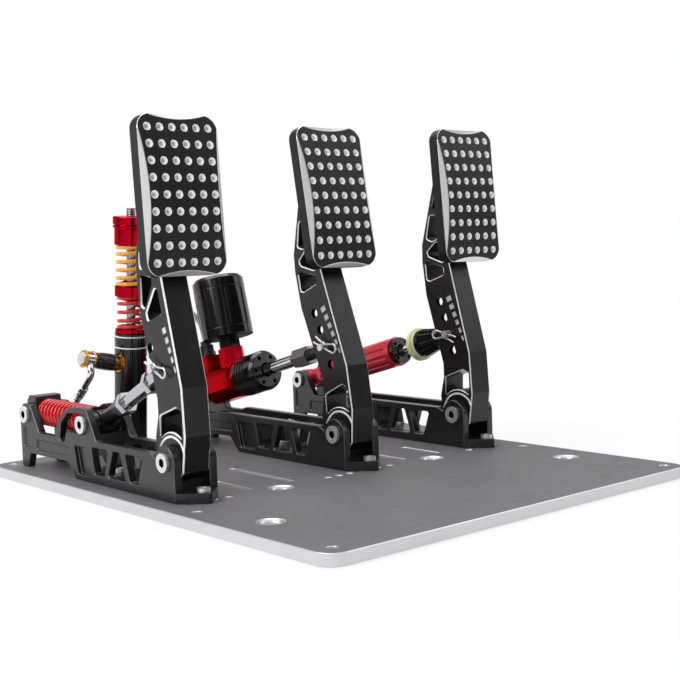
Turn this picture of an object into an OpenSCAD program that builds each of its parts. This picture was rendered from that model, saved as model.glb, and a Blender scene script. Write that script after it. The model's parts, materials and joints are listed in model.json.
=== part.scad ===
// Sim racing pedal set: clutch, brake and throttle on one floor plate.
// Units are millimetres. +X is the driver's right, +Y is away from the driver, +Z is up.
// The origin is the centre of the plate's underside.

/* [Plate] */
// width of the floor plate across the pedals
plate_w = 362; // [345:1:420]
// depth of the floor plate
plate_d = 442; // [430:1:520]
// thickness of the floor plate
plate_t = 8.5; // [6:0.5:12]
// corner radius of the floor plate
plate_r = 14; // [6:1:24]

/* [Pedal places] */
// centre of the clutch rail
clutch_x = -145.6; // [-150:0.2:-130]
// centre of the brake rail
brake_x = 11.6; // [0:0.2:20]
// centre of the throttle rail
throttle_x = 146.4; // [120:0.2:150]
// pivot axis of every pedal, measured from the plate centre
pivot_y = -23; // [-40:1:0]
// lean of the clutch pad at rest
clutch_lean = 3.7; // [2:0.1:6]
// lean of the brake pad at rest
brake_lean = 9.4; // [8:0.1:11]
// lean of the throttle pad at rest
throttle_lean = 4.6; // [3:0.1:7]

/* [Rails] */
// outside width of a rail
rail_w = 36.7; // [34:0.1:44]
// thickness of a rail wall
wall_t = 6.4; // [4:0.1:7]
// thickness of a rail floor
floor_t = 7.5; // [5:0.5:9]
// height of the pivot axis over the plate
pivot_h = 28; // [26:0.5:32]
// radius of the wall round the pivot
ear_r = 12.2; // [11.4:0.2:14]

/* [Pedals] */
// width of a pedal arm
arm_w = 22.6; // [18:0.1:22.8]
// width of a pad
pad_w = 66; // [64:1:76]
// height of a pad
pad_h = 112; // [110:1:124]
// thickness of a pad at its middle
pad_t = 13; // [11:0.5:15]
// corner radius of a pad
pad_r = 11; // [8:0.5:14]
// radius of the crowned pad face
pad_crown_r = 345; // [250:5:500]
// spacing of the dimples across
dimple_dx = 10; // [9:0.1:10.4]
// spacing of the dimples up the pad
dimple_dz = 11.75; // [11:0.05:12]
// diameter of a dimple
dimple_d = 5.8; // [4:0.1:7]

/* [Linkage] */
// diameter of the pivot and rear bolts
bolt_d = 10; // [8:0.5:11]
// diameter of a clevis pin
pin_d = 6; // [5:0.5:7]
// outside diameter of the brake cylinder cap
cap_d = 35; // [32:1:38]
// outside diameter of the reservoir
reservoir_d = 46; // [38:0.2:48]
// height of the reservoir
reservoir_h = 54; // [44:1:64]
// outside diameter of the throttle damper
damper_d = 27; // [24:1:29]

/* [Coil springs] */
// outside diameter of the clutch spring
clutch_spring_d = 23; // [20:0.5:23]
// wire of the clutch spring
clutch_wire = 3.2; // [2.4:0.1:3.4]
// turns of the clutch spring
clutch_turns = 12; // [9:1:13]
// outside diameter of the lower brake spring
lower_spring_d = 24.4; // [22:0.2:26]
// outside diameter of the upper brake spring
upper_spring_d = 26.4; // [22:0.2:27]
// wire of the brake springs
brake_wire = 3; // [2.4:0.1:3.4]
// turns of the lower brake spring
lower_turns = 4.5; // [3:0.5:5]
// turns of the upper brake spring
upper_turns = 5.5; // [4:0.5:6]

/* [Fits] */
// radial gap of a turning fit
run_gap = 0.05; // [0.02:0.01:0.1]
// gap beside a sliding or swinging piece
side_gap = 0.6; // [0.3:0.05:1]
// radial gap of the opened joints of the linkages
open_gap = 0.8; // [0.7:0.05:1.2]

/* [Hidden] */
$fn = 48;

inner_w = rail_w - 2 * wall_t;
arm_x = arm_w / 2;
wall_x = rail_w / 2;
// rail profile, first value from the pivot towards the rear, second over the plate
rail_top = 33;
rail_rear = 219.5;
rear_bolt = [209.6, 44.2];
cam_bolt = [114.3, 44.3];
front_bolt_y = -21;
floor_end = 126;
floor_bolts = [front_bolt_y, 38, 92];
head_d = 14;
head_t = 2.6;
hole_pitch = 10.8;
small_hole_d = 5.6;

// pedal arm profile in the arm's own frame, pivot at the origin, pad upright
pad_face_y = -25.5;
pad_z = 185.5;
screw_z = [163, 188];
pad_back_y = pad_face_y + pad_t;
clutch_pin = [11, 65.5];
link_pin = [3.9, 69.4];
slot_w = 15;
eye_w = slot_w - 1.4;
eye_r = 7.2;

function lean(p, a) = [p[0] * cos(a) + p[1] * sin(a), p[1] * cos(a) - p[0] * sin(a) + pivot_h];
function slope(p, q) = atan2(p[1] - q[1], q[0] - p[0]);
clutch_pin_at = lean(clutch_pin, clutch_lean);
brake_pin_at = lean(link_pin, brake_lean);
throttle_pin_at = lean(link_pin, throttle_lean);
clutch_len = norm(clutch_pin_at - cam_bolt);
brake_len = norm(brake_pin_at - rear_bolt);
throttle_len = norm(throttle_pin_at - rear_bolt);

// brake cylinder, distances along its axis from the arm pin
cap_s = 95.5;
flange_s = 125;
cyl_s = 134;
cyl_end_s = 172;
tail_end_s = 189;
cyl_bore_d = 19;
oct_w = 32;
stub_s = 142.5;
stub_n = 29;
outlet_s = 178.5;
neck_n = 39;

// throttle damper, distances along its axis from the arm pin
knob_s = 22;
ring_s = 44;
ring_end_s = 53.2;
damper_s = 73.2;
damper_bore_d = 19;

// upright brake spring unit between the clutch and brake rails
slave_at = [-65, 186.8];
slave_lean = 4.9;
slave_r = 14.2;
piston_a = 105.6;
seat_t = 4;
lower_len = 28.4;
collar_t = 9;
upper_len = 35.5;
cup_h = 14.5;
cap_h = 9;
seat_a = piston_a + seat_t;
collar_a = seat_a + lower_len;
collar_end_a = collar_a + collar_t;
cup_a = collar_end_a + upper_len;
cap_a = cup_a + cup_h;
port_a = 77;
centre_rod_d = 8;
port_turn = 186;
port_rise = 12;

function unit(v) = v / norm(v);
function fillet(a, b, c, r, n) =
  let (u = unit(a - b), w = unit(c - b), half = acos(max(-1, min(1, u * w))) / 2,
    d = min(r / tan(half), 0.45 * min(norm(a - b), norm(c - b))), q = d * tan(half),
    m = b + unit(u + w) * q / sin(half), s = b + u * d, e = b + w * d,
    a0 = atan2(s[1] - m[1], s[0] - m[0]), da = atan2(e[1] - m[1], e[0] - m[0]) - a0,
    t = da > 180 ? da - 360 : da < -180 ? da + 360 : da)
  [for (i = [0:n]) m + q * [cos(a0 + t * i / n), sin(a0 + t * i / n)]];
function rounded(p, r, n = 3) =
  [for (i = [0:len(p) - 1]) each fillet(p[(i + len(p) - 1) % len(p)], p[i], p[(i + 1) % len(p)], r, n)];

module slab(x0, t) {
  translate([x0, 0, 0]) rotate([90, 0, 90]) linear_extrude(height = t) children();
}
module rod_x(x0, x1, d) {
  translate([x0, 0, 0]) rotate([0, 90, 0]) cylinder(h = x1 - x0, d = d);
}
module rod_y(y0, y1, d) {
  translate([0, y0, 0]) rotate([-90, 0, 0]) cylinder(h = y1 - y0, d = d);
}
module cone_y(y0, y1, d0, d1) {
  translate([0, y0, 0]) rotate([-90, 0, 0]) cylinder(h = y1 - y0, d1 = d0, d2 = d1);
}
module hex_y(y0, y1, across) {
  translate([0, y0, 0]) rotate([-90, 0, 0]) cylinder(h = y1 - y0, d = across / cos(30), $fn = 6);
}
module at_yz(p) {
  translate([0, p[0], p[1]]) children();
}
module on_rail(x) {
  translate([x, pivot_y, plate_t]) children();
}
module on_arm(x, a) {
  translate([x, pivot_y, plate_t + pivot_h]) rotate([-a, 0, 0]) children();
}
module on_link(x, p, q) {
  translate([x, pivot_y + p[0], plate_t + p[1]]) rotate([-slope(p, q), 0, 0]) children();
}
module clutch_link() {
  on_link(clutch_x, clutch_pin_at, cam_bolt) children();
}
module brake_link() {
  on_link(brake_x, brake_pin_at, rear_bolt) children();
}
module throttle_link() {
  on_link(throttle_x, throttle_pin_at, rear_bolt) children();
}
module on_slave() {
  translate([slave_at[0], slave_at[1], plate_t]) rotate([slave_lean, 0, 0]) children();
}
module on_port() {
  on_slave() translate([0, 0, port_a]) rotate([0, 0, port_turn]) rotate([0, -port_rise, 0]) children();
}
module round_rect(w, h, r) {
  square([w - 2 * r, h], center = true);
  square([w, h - 2 * r], center = true);
  for (i = [-1, 1], j = [-1, 1]) translate([i * (w / 2 - r), j * (h / 2 - r)]) circle(r = r);
}
module socket_head(d, t, hex) {
  difference() {
    cylinder(h = t, d = d);
    translate([0, 0, t - 1.8]) cylinder(h = 2, d = hex / cos(30), $fn = 6);
  }
}

// floor plate
module slot_hole(w, len) {
  square([w, len - w], center = true);
  for (j = [-1, 1]) translate([0, j * (len - w) / 2]) circle(d = w);
}
module rail_holes(x, from, to) {
  for (i = [from:to]) translate([x + i * hole_pitch, pivot_y + front_bolt_y]) circle(d = small_hole_d);
  for (k = [1, 2]) translate([x, pivot_y + floor_bolts[k]]) circle(d = small_hole_d);
}
module base_plate() {
  edge_x = plate_w / 2 - 13.5;
  front_y = -plate_d / 2 + 13.5;
  color([0.33, 0.33, 0.34]) difference() {
    linear_extrude(height = plate_t) difference() {
      round_rect(plate_w, plate_d, plate_r);
      for (i = [-1, 1]) {
        for (y = [front_y, front_y + 140.5, -front_y]) translate([i * edge_x, y]) circle(d = 7);
        translate([i * 58.5, 6.2]) slot_hole(5.6, 80);
        translate([i * 98, -11.5]) slot_hole(5.6, 44);
        translate([i * 78.5, -45.5]) circle(d = 14);
        translate([i * 150.5, -126.5]) circle(d = 14);
      }
      rail_holes(clutch_x, -1, 2);
      rail_holes(brake_x, -4, 2);
      rail_holes(throttle_x, -2, 1);
      for (k = [45, 135, 225, 315]) translate(slave_at) rotate(k) translate([19.5, 0]) circle(d = 4.4);
    }
    for (i = [-1, 1], p = [[78.5, -45.5], [150.5, -126.5]])
      translate([i * p[0], p[1], plate_t - 2.5]) cylinder(h = 3, d1 = 14, d2 = 20);
  }
}
module rail_bolts() {
  color([0.8, 0.8, 0.8]) {
    for (x = [clutch_x, brake_x, throttle_x], y = floor_bolts)
      translate([x, pivot_y + y, plate_t + floor_t]) {
        translate([0, 0, -floor_t - plate_t + 0.5]) cylinder(h = floor_t + plate_t, d = 5);
        socket_head(9.5, 3, 4);
      }
    on_slave() for (k = [45, 135, 225, 315]) rotate(k) translate([19.5, 0, 0]) {
      translate([0, 0, 6]) socket_head(7, 3, 3);
      translate([0, 0, 2]) cylinder(h = 4.2, d = 4);
    }
  }
}

// rails
wall_front = -ear_r;
arch = [[128.5, 0], [140.2, 12.4], [204, 12], [209.2, 0]];
plain_wall = [[wall_front, 0], arch[0], arch[1], arch[2], arch[3], [rail_rear, 0], [rail_rear, 46],
  [213.5, 53], [202, 53], [187, 30.5], [164, 30.5], [158, rail_top], [ear_r + 6.6, rail_top],
  [ear_r, pivot_h + 2], [0, pivot_h + 2], [wall_front, pivot_h]];
hook_wall = [[wall_front, 0], arch[0], arch[1], arch[2], arch[3], [rail_rear, 0], [rail_rear, 46],
  [213.5, 53], [202, 53], [187, 30.5], [160.5, 30.5], [155, 42.6], [147, 50.6], [136, 55.6], [124, 57],
  [108.5, 56.6], [94.6, rail_top], [ear_r + 6.6, rail_top], [ear_r, pivot_h + 2], [0, pivot_h + 2],
  [wall_front, pivot_h]];
cam_slot = [[114.3, 36.6], [141.6, 36.6], [144.8, 27.6], [153.4, 27.6], [149.4, 42.8], [139, 51],
  [124.5, 52.2], [114.3, 52]];
wall_windows = [
  [[103, 28], [77.8, 28], [84.2, 7.2], [98.6, 7.2]],
  [[71.2, 28], [60.6, 28], [53.2, 7.2], [79.4, 7.2]],
  [[54.2, 28], [29.4, 28], [36.8, 7.2], [47.6, 7.2]]];
front_panel = [[130, 26.6], [108.4, 26.6], [103.6, 4.4], [124.4, 4.4]];
front_panel_depth = 3.4;
side_panel_depth = 1.2;
name_panel = [[193, 24.6], [193, 16], [137, 17.2], [137, 24]];
rear_panel = [[214.5, 36], [214.5, 17], [200, 17], [197, 26]];
module wall_outline(hook) {
  difference() {
    union() {
      polygon(rounded(hook ? hook_wall : plain_wall, 2.2));
      translate([0, pivot_h]) circle(r = ear_r);
    }
    for (w = wall_windows) polygon(rounded(w, 2));
    if (hook) {
      polygon(rounded(cam_slot, 3));
      translate(cam_bolt) circle(r = 7.8);
    }
  }
}
module rail_wall(x, side, hook, tone) {
  color(tone) on_rail(x) difference() {
    slab(side < 0 ? -wall_x : wall_x - wall_t, wall_t) wall_outline(hook);
    for (p = [[0, pivot_h], rear_bolt])
      at_yz(p) rod_x(-rail_w, rail_w, bolt_d + 2 * run_gap);
    for (q = [[front_panel, front_panel_depth], [name_panel, side_panel_depth],
      [rear_panel, side_panel_depth]])
      slab(side < 0 ? -wall_x - 1 : wall_x - q[1], q[1] + 1) polygon(rounded(q[0], 1.6));
  }
}
module rail_floor(x, tone) {
  tip = wall_x - 1.3;
  color(tone) on_rail(x) difference() {
    linear_extrude(height = floor_t) {
      translate([-inner_w / 2, wall_front - 0.01]) square([inner_w, floor_end - wall_front]);
      polygon([[-wall_x, wall_front], [tip - wall_x, wall_front - tip], [wall_x - tip, wall_front - tip],
        [wall_x, wall_front]]);
    }
    for (y = floor_bolts) translate([0, y, -1]) cylinder(h = floor_t + 2, d = small_hole_d);
  }
}
rail_tone = [0.09, 0.09, 0.1];
module clutch_left_wall() { rail_wall(clutch_x, -1, true, rail_tone); }
module clutch_right_wall() { rail_wall(clutch_x, 1, true, rail_tone); }
module clutch_floor() { rail_floor(clutch_x, rail_tone); }
module brake_left_wall() { rail_wall(brake_x, -1, false, rail_tone); }
module brake_right_wall() { rail_wall(brake_x, 1, false, rail_tone); }
module brake_floor() { rail_floor(brake_x, rail_tone); }
module throttle_left_wall() { rail_wall(throttle_x, -1, false, rail_tone); }
module throttle_right_wall() { rail_wall(throttle_x, 1, false, rail_tone); }
module throttle_floor() { rail_floor(throttle_x, rail_tone); }

// cross bolts of the rails
module cross_bolt(x, p) {
  on_rail(x) at_yz(p) {
    rod_x(-wall_x, wall_x, bolt_d);
    translate([-wall_x, 0, 0]) rotate([0, -90, 0]) socket_head(head_d, head_t, 6);
    translate([wall_x, 0, 0]) rotate([0, 90, 0]) socket_head(head_d, head_t, 6);
  }
}
module pivot_bolts() {
  color([0.8, 0.8, 0.8]) for (x = [clutch_x, brake_x, throttle_x]) cross_bolt(x, [0, pivot_h]);
}
module rear_bolts() {
  color([0.8, 0.8, 0.8]) for (x = [clutch_x, brake_x, throttle_x]) cross_bolt(x, rear_bolt);
}
bush_d = bolt_d + 5;
module pivot_bushes() {
  flange = inner_w / 2 - arm_x - 0.1;
  color([0.55, 0.5, 0.35]) for (x = [clutch_x, brake_x, throttle_x], i = [-1, 1])
    on_rail(x) at_yz([0, pivot_h]) mirror([i < 0 ? 1 : 0, 0, 0]) difference() {
      union() {
        rod_x(0.4, inner_w / 2, bush_d);
        rod_x(inner_w / 2 - flange, inner_w / 2, bush_d + 8);
      }
      rod_x(0, rail_w, bolt_d + 2 * run_gap);
    }
}

// pedal arms
arm_outline = [[-12, -8.5], [-4, -14], [9, -14], [18.5, -2], [19.5, 16], [14, 32], [13.4, 44], [28, 104],
  [29.6, 134], [28.4, 148], [7.7, 203.5], [2, 212], [pad_back_y, 212], [pad_back_y, 143], [-2.4, 134],
  [-3, 130], [-18, 52], [-17.6, 17]];
low_window = [[14, 15], [12, 32], [-9.5, 38], [-15, 35], [-14.6, 15]];
clutch_windows = [
  [[23.9, 133.4], [10.3, 130.3], [10.2, 126.1], [21.5, 108.8], [25, 111.2]],
  [[3.6, 121.8], [6.8, 122.3], [19.4, 105.9], [18.6, 100.8], [14.7, 100.3], [0.3, 104.4]],
  [[23.6, 138], [-1, 136], [-6.5, 143], [-6.5, 148], [22.5, 150]],
  [[20, 155], [-6.5, 153], [-6.5, 196], [3.5, 200]]];
link_windows = [
  [[23.5, 133], [25.5, 131], [25.2, 117.5], [21.6, 116.3], [4.6, 120.6], [4.2, 127]],
  [[12, 149], [22.5, 141.5], [20.8, 137.5], [4.5, 131], [-6, 143.5], [-6.5, 147]],
  [[16, 172.5], [-6.5, 172.5], [-6.5, 155], [15.8, 150.4], [22, 153]],
  [[13.6, 177], [-6.5, 177.5], [-6.5, 199], [5, 199]]];
link_holes = [[12, 97.6], [7.7, 83.6], link_pin, [0.6, 55]];
clutch_holes = [[17.6, 80.7], clutch_pin];
mark_foot = [-11.6, 64.8];
mark_step = [2.55, 6.87];
module pedal_arm(x, a, holes, windows, slot_top, marks, tone) {
  color(tone) on_arm(x, a) difference() {
    slab(-arm_x, arm_w) difference() {
      polygon(rounded(arm_outline, 2.5));
      difference() {
        polygon(rounded(low_window, 2.4));
        circle(r = 21);
      }
      for (w = windows) polygon(rounded(w, 2));
    }
    slab(-slot_w / 2, slot_w)
      polygon([[60, 46], [4, 46], [-11, 54], [(slot_top - 52) * 0.192 - 10.6, slot_top], [60, slot_top]]);
    for (h = holes) at_yz(h)
      rod_x(-arm_w, arm_w, (h == link_pin || h == clutch_pin) ? pin_d + 2 * run_gap : 7.4);
    rod_x(-arm_w, arm_w, bush_d + 2 * run_gap);
    for (i = [-1, 1]) translate([i * arm_x, 0, 0]) difference() {
      rod_x(-0.7, 0.7, 37);
      rod_x(-2, 2, 33.4);
    }
    for (k = [0:marks - 1]) at_yz(mark_foot + k * mark_step)
      rotate([-20.4, 0, 0]) translate([-arm_x - 1, -1.6 - k * 0.4, -2.2]) cube([1.4, 2.3 + k * 0.68, 4.4]);
    for (z = screw_z) translate([0, 0, z]) rod_y(pad_back_y - 1, pad_back_y + 8, 5.6);
  }
}
arm_tone = [0.1, 0.1, 0.11];
module clutch_arm() { pedal_arm(clutch_x, clutch_lean, clutch_holes, clutch_windows, 92, 5, arm_tone); }
module brake_arm() { pedal_arm(brake_x, brake_lean, link_holes, link_windows, 108, 6, arm_tone); }
module throttle_arm() { pedal_arm(throttle_x, throttle_lean, link_holes, link_windows, 108, 6, arm_tone); }

// pads
facet_rise = 48;
side_rise = 38;
side_reach = 4.3;
end_reach = 3.4;
function crown_drop(z) = pad_crown_r - sqrt(pad_crown_r * pad_crown_r - z * z);
module pad_end_facet(reach, span, depth) {
  big = (span * span / 4 + depth * depth) / (2 * depth);
  drop = 8;
  translate([reach - depth + big, 0, 0])
    cylinder(h = drop + 2, r1 = big - drop / tan(facet_rise), r2 = big + 2 / tan(facet_rise), $fn = 96);
}
module pad_body() {
  k = tan(side_rise);
  edge = pad_w / 2;
  difference() {
    intersection() {
      rotate([90, 0, 0]) linear_extrude(height = pad_t + 1) round_rect(pad_w, pad_h, pad_r);
      translate([0, pad_crown_r - pad_t, 0]) rotate([0, 90, 0])
        cylinder(h = pad_w + 10, r = pad_crown_r, center = true, $fn = 180);
    }
    for (i = [0, 1]) mirror([i, 0, 0]) linear_extrude(height = pad_h + 10, center = true)
      polygon([[edge - side_reach - 1, -pad_t - k], [edge + 2, -pad_t - k],
        [edge + 2, (side_reach + 2) * k - pad_t]]);
    for (i = [90, 270]) rotate([0, i, 0]) rotate([90, 0, 0]) translate([0, 0, pad_t - 12])
      pad_end_facet(pad_h / 2, pad_w - 14, end_reach);
    for (i = [-2.5:2.5], j = [-4:4])
      translate([i * dimple_dx, crown_drop(j * dimple_dz) - pad_t, j * dimple_dz])
        cone_y(-0.4, 1.7, dimple_d + 0.8, dimple_d - 3);
    for (z = screw_z) translate([0, 0, z - pad_z]) rod_y(-6.5, 1, 5.2);
  }
}
module pedal_pad(x, a) {
  color([0.07, 0.07, 0.07]) on_arm(x, a) translate([0, pad_back_y, pad_z]) pad_body();
}
module pad_screws(x, a) {
  color([0.5, 0.5, 0.5]) on_arm(x, a) for (z = screw_z) translate([0, 0, z]) {
    rod_y(pad_back_y - 6, pad_back_y + 6, 5);
    translate([0, pad_back_y + 6, 0]) rotate([-90, 0, 0]) socket_head(8, 4, 4);
  }
}
module clutch_pad() { pedal_pad(clutch_x, clutch_lean); }
module brake_pad() { pedal_pad(brake_x, brake_lean); }
module throttle_pad() { pedal_pad(throttle_x, throttle_lean); }
module clutch_pad_screws() { pad_screws(clutch_x, clutch_lean); }
module brake_pad_screws() { pad_screws(brake_x, brake_lean); }
module throttle_pad_screws() { pad_screws(throttle_x, throttle_lean); }

// clevis pins and spring clips
clip_d = 1.7;
pin_out = 6.5;
clip_x = -arm_x - 3.4;
module clevis_pin(x, a, p, turn) {
  color([0.75, 0.75, 0.75]) on_arm(x, a) at_yz(p) difference() {
    union() {
      rod_x(-arm_x - pin_out, arm_x, pin_d);
      rod_x(arm_x, arm_x + 3, pin_d + 4);
    }
    translate([clip_x, 0, 0]) rotate([turn, 0, 0]) rod_y(-pin_d, pin_d, clip_d + 0.5);
  }
}
clip_turn = 28;
throttle_clip_turn = 196;
module arc_yz(r, a0, a1) {
  rotate([90, 0, 90]) rotate([0, 0, a0])
    rotate_extrude(angle = a1 - a0) translate([r, 0]) circle(d = clip_d, $fn = 16);
}
module wire_yz(p, q) {
  v = q - p;
  at_yz(p) rotate([atan2(v[1], v[0]), 0, 0]) rod_y(0, norm(v), clip_d, $fn = 16);
  for (e = [p, q]) at_yz(e) sphere(d = clip_d, $fn = 16);
}
module spring_clip(x, a, p, turn) {
  bow = pin_d / 2 + clip_d / 2 + 0.3;
  loop = 3.6;
  near = bow * [cos(62), sin(62)];
  far = bow * [cos(122), sin(122)];
  color([0.85, 0.85, 0.85]) on_arm(x, a) at_yz(p) translate([clip_x, 0, 0]) rotate([turn, 0, 0]) {
    wire_yz([-12, 0], [11, 0]);
    at_yz([-12, loop]) arc_yz(loop, 90, 270);
    wire_yz([-12, 2 * loop], far);
    arc_yz(bow, 62, 122);
    wire_yz(near, near + 8 * [cos(12), sin(12)]);
  }
}
module clutch_clevis_pin() { clevis_pin(clutch_x, clutch_lean, clutch_pin, clip_turn); }
module brake_clevis_pin() { clevis_pin(brake_x, brake_lean, link_pin, clip_turn); }
module throttle_clevis_pin() { clevis_pin(throttle_x, throttle_lean, link_pin, throttle_clip_turn); }
module clutch_clip() { spring_clip(clutch_x, clutch_lean, clutch_pin, clip_turn); }
module brake_clip() { spring_clip(brake_x, brake_lean, link_pin, clip_turn); }
module throttle_clip() { spring_clip(throttle_x, throttle_lean, link_pin, throttle_clip_turn); }

// clutch push rod, cam pin and spring
module eye_end(len, w, r, neck) {
  difference() {
    union() {
      rod_x(-w / 2, w / 2, 2 * r);
      rod_y(0, len, neck);
    }
    rod_x(-w, w, pin_d + 2 * run_gap);
  }
}
fork_end_s = 26;
rod_nut_s = 67;
nut_t = 5.8;
module clutch_rod_fork() {
  color([0.8, 0.8, 0.82]) clutch_link() difference() {
    union() {
      eye_end(fork_end_s, eye_w, eye_r, 12);
      rotate([0, 30, 0]) hex_y(14, 24, 13);
    }
    rod_y(14, 30, 8);
  }
}
module clutch_rod_tube() {
  color([0.8, 0.8, 0.82]) clutch_link() {
    rod_y(14.2, 78, 7.9);
    rod_y(fork_end_s + nut_t, rod_nut_s, 11);
  }
}
module clutch_rod_nuts() {
  color([0.7, 0.7, 0.72]) clutch_link() for (y = [fork_end_s, rod_nut_s]) difference() {
    hex_y(y, y + nut_t, 15.5);
    rod_y(y - 1, y + nut_t + 1, 8);
  }
}
module clutch_rod_end() {
  color([0.08, 0.08, 0.08]) clutch_link() difference() {
    union() {
      rod_y(rod_nut_s + nut_t + 0.2, clutch_len, 12.5);
      hex_y(rod_nut_s + nut_t + 0.2, 79, 14);
      translate([0, clutch_len, 0]) rod_x(-6, 6, 19);
    }
    rod_y(rod_nut_s, 88, 8);
    translate([0, clutch_len, 0]) rod_x(-10, 10, cam_pin_d + 2 * open_gap);
  }
}
cam_pin_d = 8;
seat_y = 125.5;
module clutch_cam_pin() {
  color([0.8, 0.8, 0.8]) on_rail(clutch_x) at_yz(cam_bolt) {
    rod_x(-wall_x - 0.4, wall_x + 0.4, cam_pin_d);
    translate([-wall_x - 0.4, 0, 0]) rotate([0, -90, 0]) socket_head(head_d, head_t, 6);
    translate([wall_x + 0.4, 0, 0]) rotate([0, 90, 0]) socket_head(head_d, head_t, 6);
  }
}
module clutch_front_seat() {
  w = inner_w - 2 * side_gap;
  color([0.08, 0.08, 0.08]) on_rail(clutch_x) difference() {
    union() {
      slab(-w / 2, w) translate(cam_bolt) {
        circle(r = 8.5);
        translate([0, -8.5]) square([seat_y - cam_bolt[0], 17]);
      }
      at_yz([0, cam_bolt[1]]) {
        rod_y(seat_y - 1, seat_y + 2.5, clutch_spring_d - 1);
        rod_y(seat_y, seat_y + 20, clutch_spring_d - 2 * clutch_wire - 2.6);
      }
    }
    slab(-6.7, 13.4) translate(cam_bolt) {
      circle(r = 10.4);
      translate([-30, -10.4]) square([30, 30]);
    }
    at_yz(cam_bolt) rod_x(-20, 20, cam_pin_d + 2 * run_gap);
  }
}
rear_seat_y = 203.4;
module clutch_rear_seat() {
  color([0.08, 0.08, 0.08]) on_rail(clutch_x) difference() {
    union() {
      slab(-inner_w / 2 + 0.3, inner_w - 0.6)
        polygon(rounded([[rear_seat_y, 33.5], [219, 33.5], [219, 54], [215, 59], [rear_seat_y, 59]], 2));
      at_yz([0, cam_bolt[1]])
        rod_y(rear_seat_y - 16, rear_seat_y + 1, clutch_spring_d - 2 * clutch_wire - 2.6);
    }
    at_yz(rear_bolt) rod_x(-20, 20, bolt_d + 2 * run_gap);
  }
}

// coil springs, one wire each, standing on +Z from the origin
function coil_path(r, len, wire, turns) =
  let (n = round(8 * turns), z0 = wire * 1.25, z1 = len - wire * 1.25)
  concat([[0, 0.15], [0, wire]], [for (i = [0:n]) [360 * turns * i / n, z0 + (z1 - z0) * i / n]],
    [[360 * turns, len - wire], [360 * turns, len - 0.15]]);
function coil_point(r, c) = [r * cos(c[0]), r * sin(c[0]), c[1]];
function coil_gap(r, wire, c) =
  min([for (i = [0:len(c) - 7], j = [i + 6:min(len(c) - 1, i + 11)])
    norm(coil_point(r, c[i]) - coil_point(r, c[j])) - wire]);
module coil(d, len, wire, turns) {
  r = d / 2 - wire / 2;
  c = coil_path(r, len, wire, turns);
  n = len(c);
  p = [for (a = c) coil_point(r, a)];
  ring = [for (i = [0:n - 1])
    let (t = unit(p[min(n - 1, i + 1)] - p[max(0, i - 1)]), e = [cos(c[i][0]), sin(c[i][0]), 0],
      b = cross(t, e))
    for (k = [0:5]) p[i] + wire / 2 * (cos(60 * k) * e + sin(60 * k) * b)];
  side = [for (i = [0:n - 2], k = [0:5], h = [0, 1])
    let (a = 6 * i + k, q = 6 * i + (k + 1) % 6) h == 0 ? [a, q, q + 6] : [a, q + 6, a + 6]];
  m = 6 * (n - 1);
  ends = concat([for (k = [1:4]) [0, k + 1, k]], [for (k = [1:4]) [m, m + k, m + k + 1]]);
  echo(str("coil gap ", coil_gap(r, wire, c)));
  polyhedron(points = ring, faces = [for (f = concat(side, ends)) [f[0], f[2], f[1]]], convexity = 10);
}
module clutch_spring() {
  color([0.8, 0.08, 0.06]) on_rail(clutch_x) at_yz([seat_y + 2.5, cam_bolt[1]])
    rotate([-90, 0, 0]) coil(clutch_spring_d, rear_seat_y - seat_y - 2.5, clutch_wire, clutch_turns);
}

// brake cylinder
brake_rod_d = 10.6;
module brake_rod_fork() {
  color([0.75, 0.75, 0.76]) brake_link() difference() {
    union() {
      eye_end(34, eye_w, eye_r, 10);
      hex_y(33, 52, 14.5);
    }
    rod_y(38, 60, 8.1);
  }
}
module brake_rod() {
  color([0.82, 0.82, 0.84]) brake_link() {
    rod_y(38.2, 54, 8);
    rod_y(52, 130, brake_rod_d);
    rod_y(124, 136, cyl_bore_d - 2 * open_gap);
  }
}
module cylinder_cap() {
  color([0.08, 0.08, 0.08]) brake_link() difference() {
    union() {
      rod_y(cap_s + 3, flange_s, cap_d);
      cone_y(cap_s, cap_s + 3, cap_d - 5, cap_d);
    }
    rod_y(cap_s - 1, cap_s + 8, brake_rod_d + 2 * open_gap);
    rod_y(cap_s + 5, flange_s + 1, cyl_bore_d);
    for (k = [0:60:300]) rotate([0, k, 0]) translate([12, 0, 0]) rod_y(cap_s - 1, cap_s + 3, 3);
    for (y = [107.5, 111.5, 115.5, 119.5]) difference() {
      rod_y(y, y + 1.2, cap_d + 2);
      rod_y(y - 1, y + 3, cap_d - 1.4);
    }
  }
}
module cylinder_body() {
  color([0.7, 0.03, 0.06]) brake_link() difference() {
    union() {
      rod_y(flange_s, cyl_s, 30);
      translate([0, cyl_s, 0]) rotate([-90, 22.5, 0])
        cylinder(h = cyl_end_s - cyl_s, d = oct_w / cos(22.5), $fn = 8);
      translate([-10.5, cyl_end_s - 1, -12]) cube([21, tail_end_s - cyl_end_s + 1, 25]);
      rod_y(tail_end_s - 1, brake_len, 17.4);
      translate([0, brake_len, 0]) rod_x(-inner_w / 2 + side_gap, inner_w / 2 - side_gap, 19);
      translate([0, stub_s, 0]) rotate(22.5) cylinder(h = stub_n, d = 21 / cos(22.5), $fn = 8);
      translate([-7.8, outlet_s - 7.8, 0]) cube([15.6, 15.6, 29]);
    }
    rod_y(flange_s - 1, 160, cyl_bore_d);
    translate([0, stub_s, 5]) cylinder(h = 40, d = 10);
    translate([0, outlet_s, 5]) cylinder(h = 40, d = 6);
    translate([0, brake_len, 0]) rod_x(-20, 20, bolt_d + 2 * run_gap);
  }
}
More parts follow.
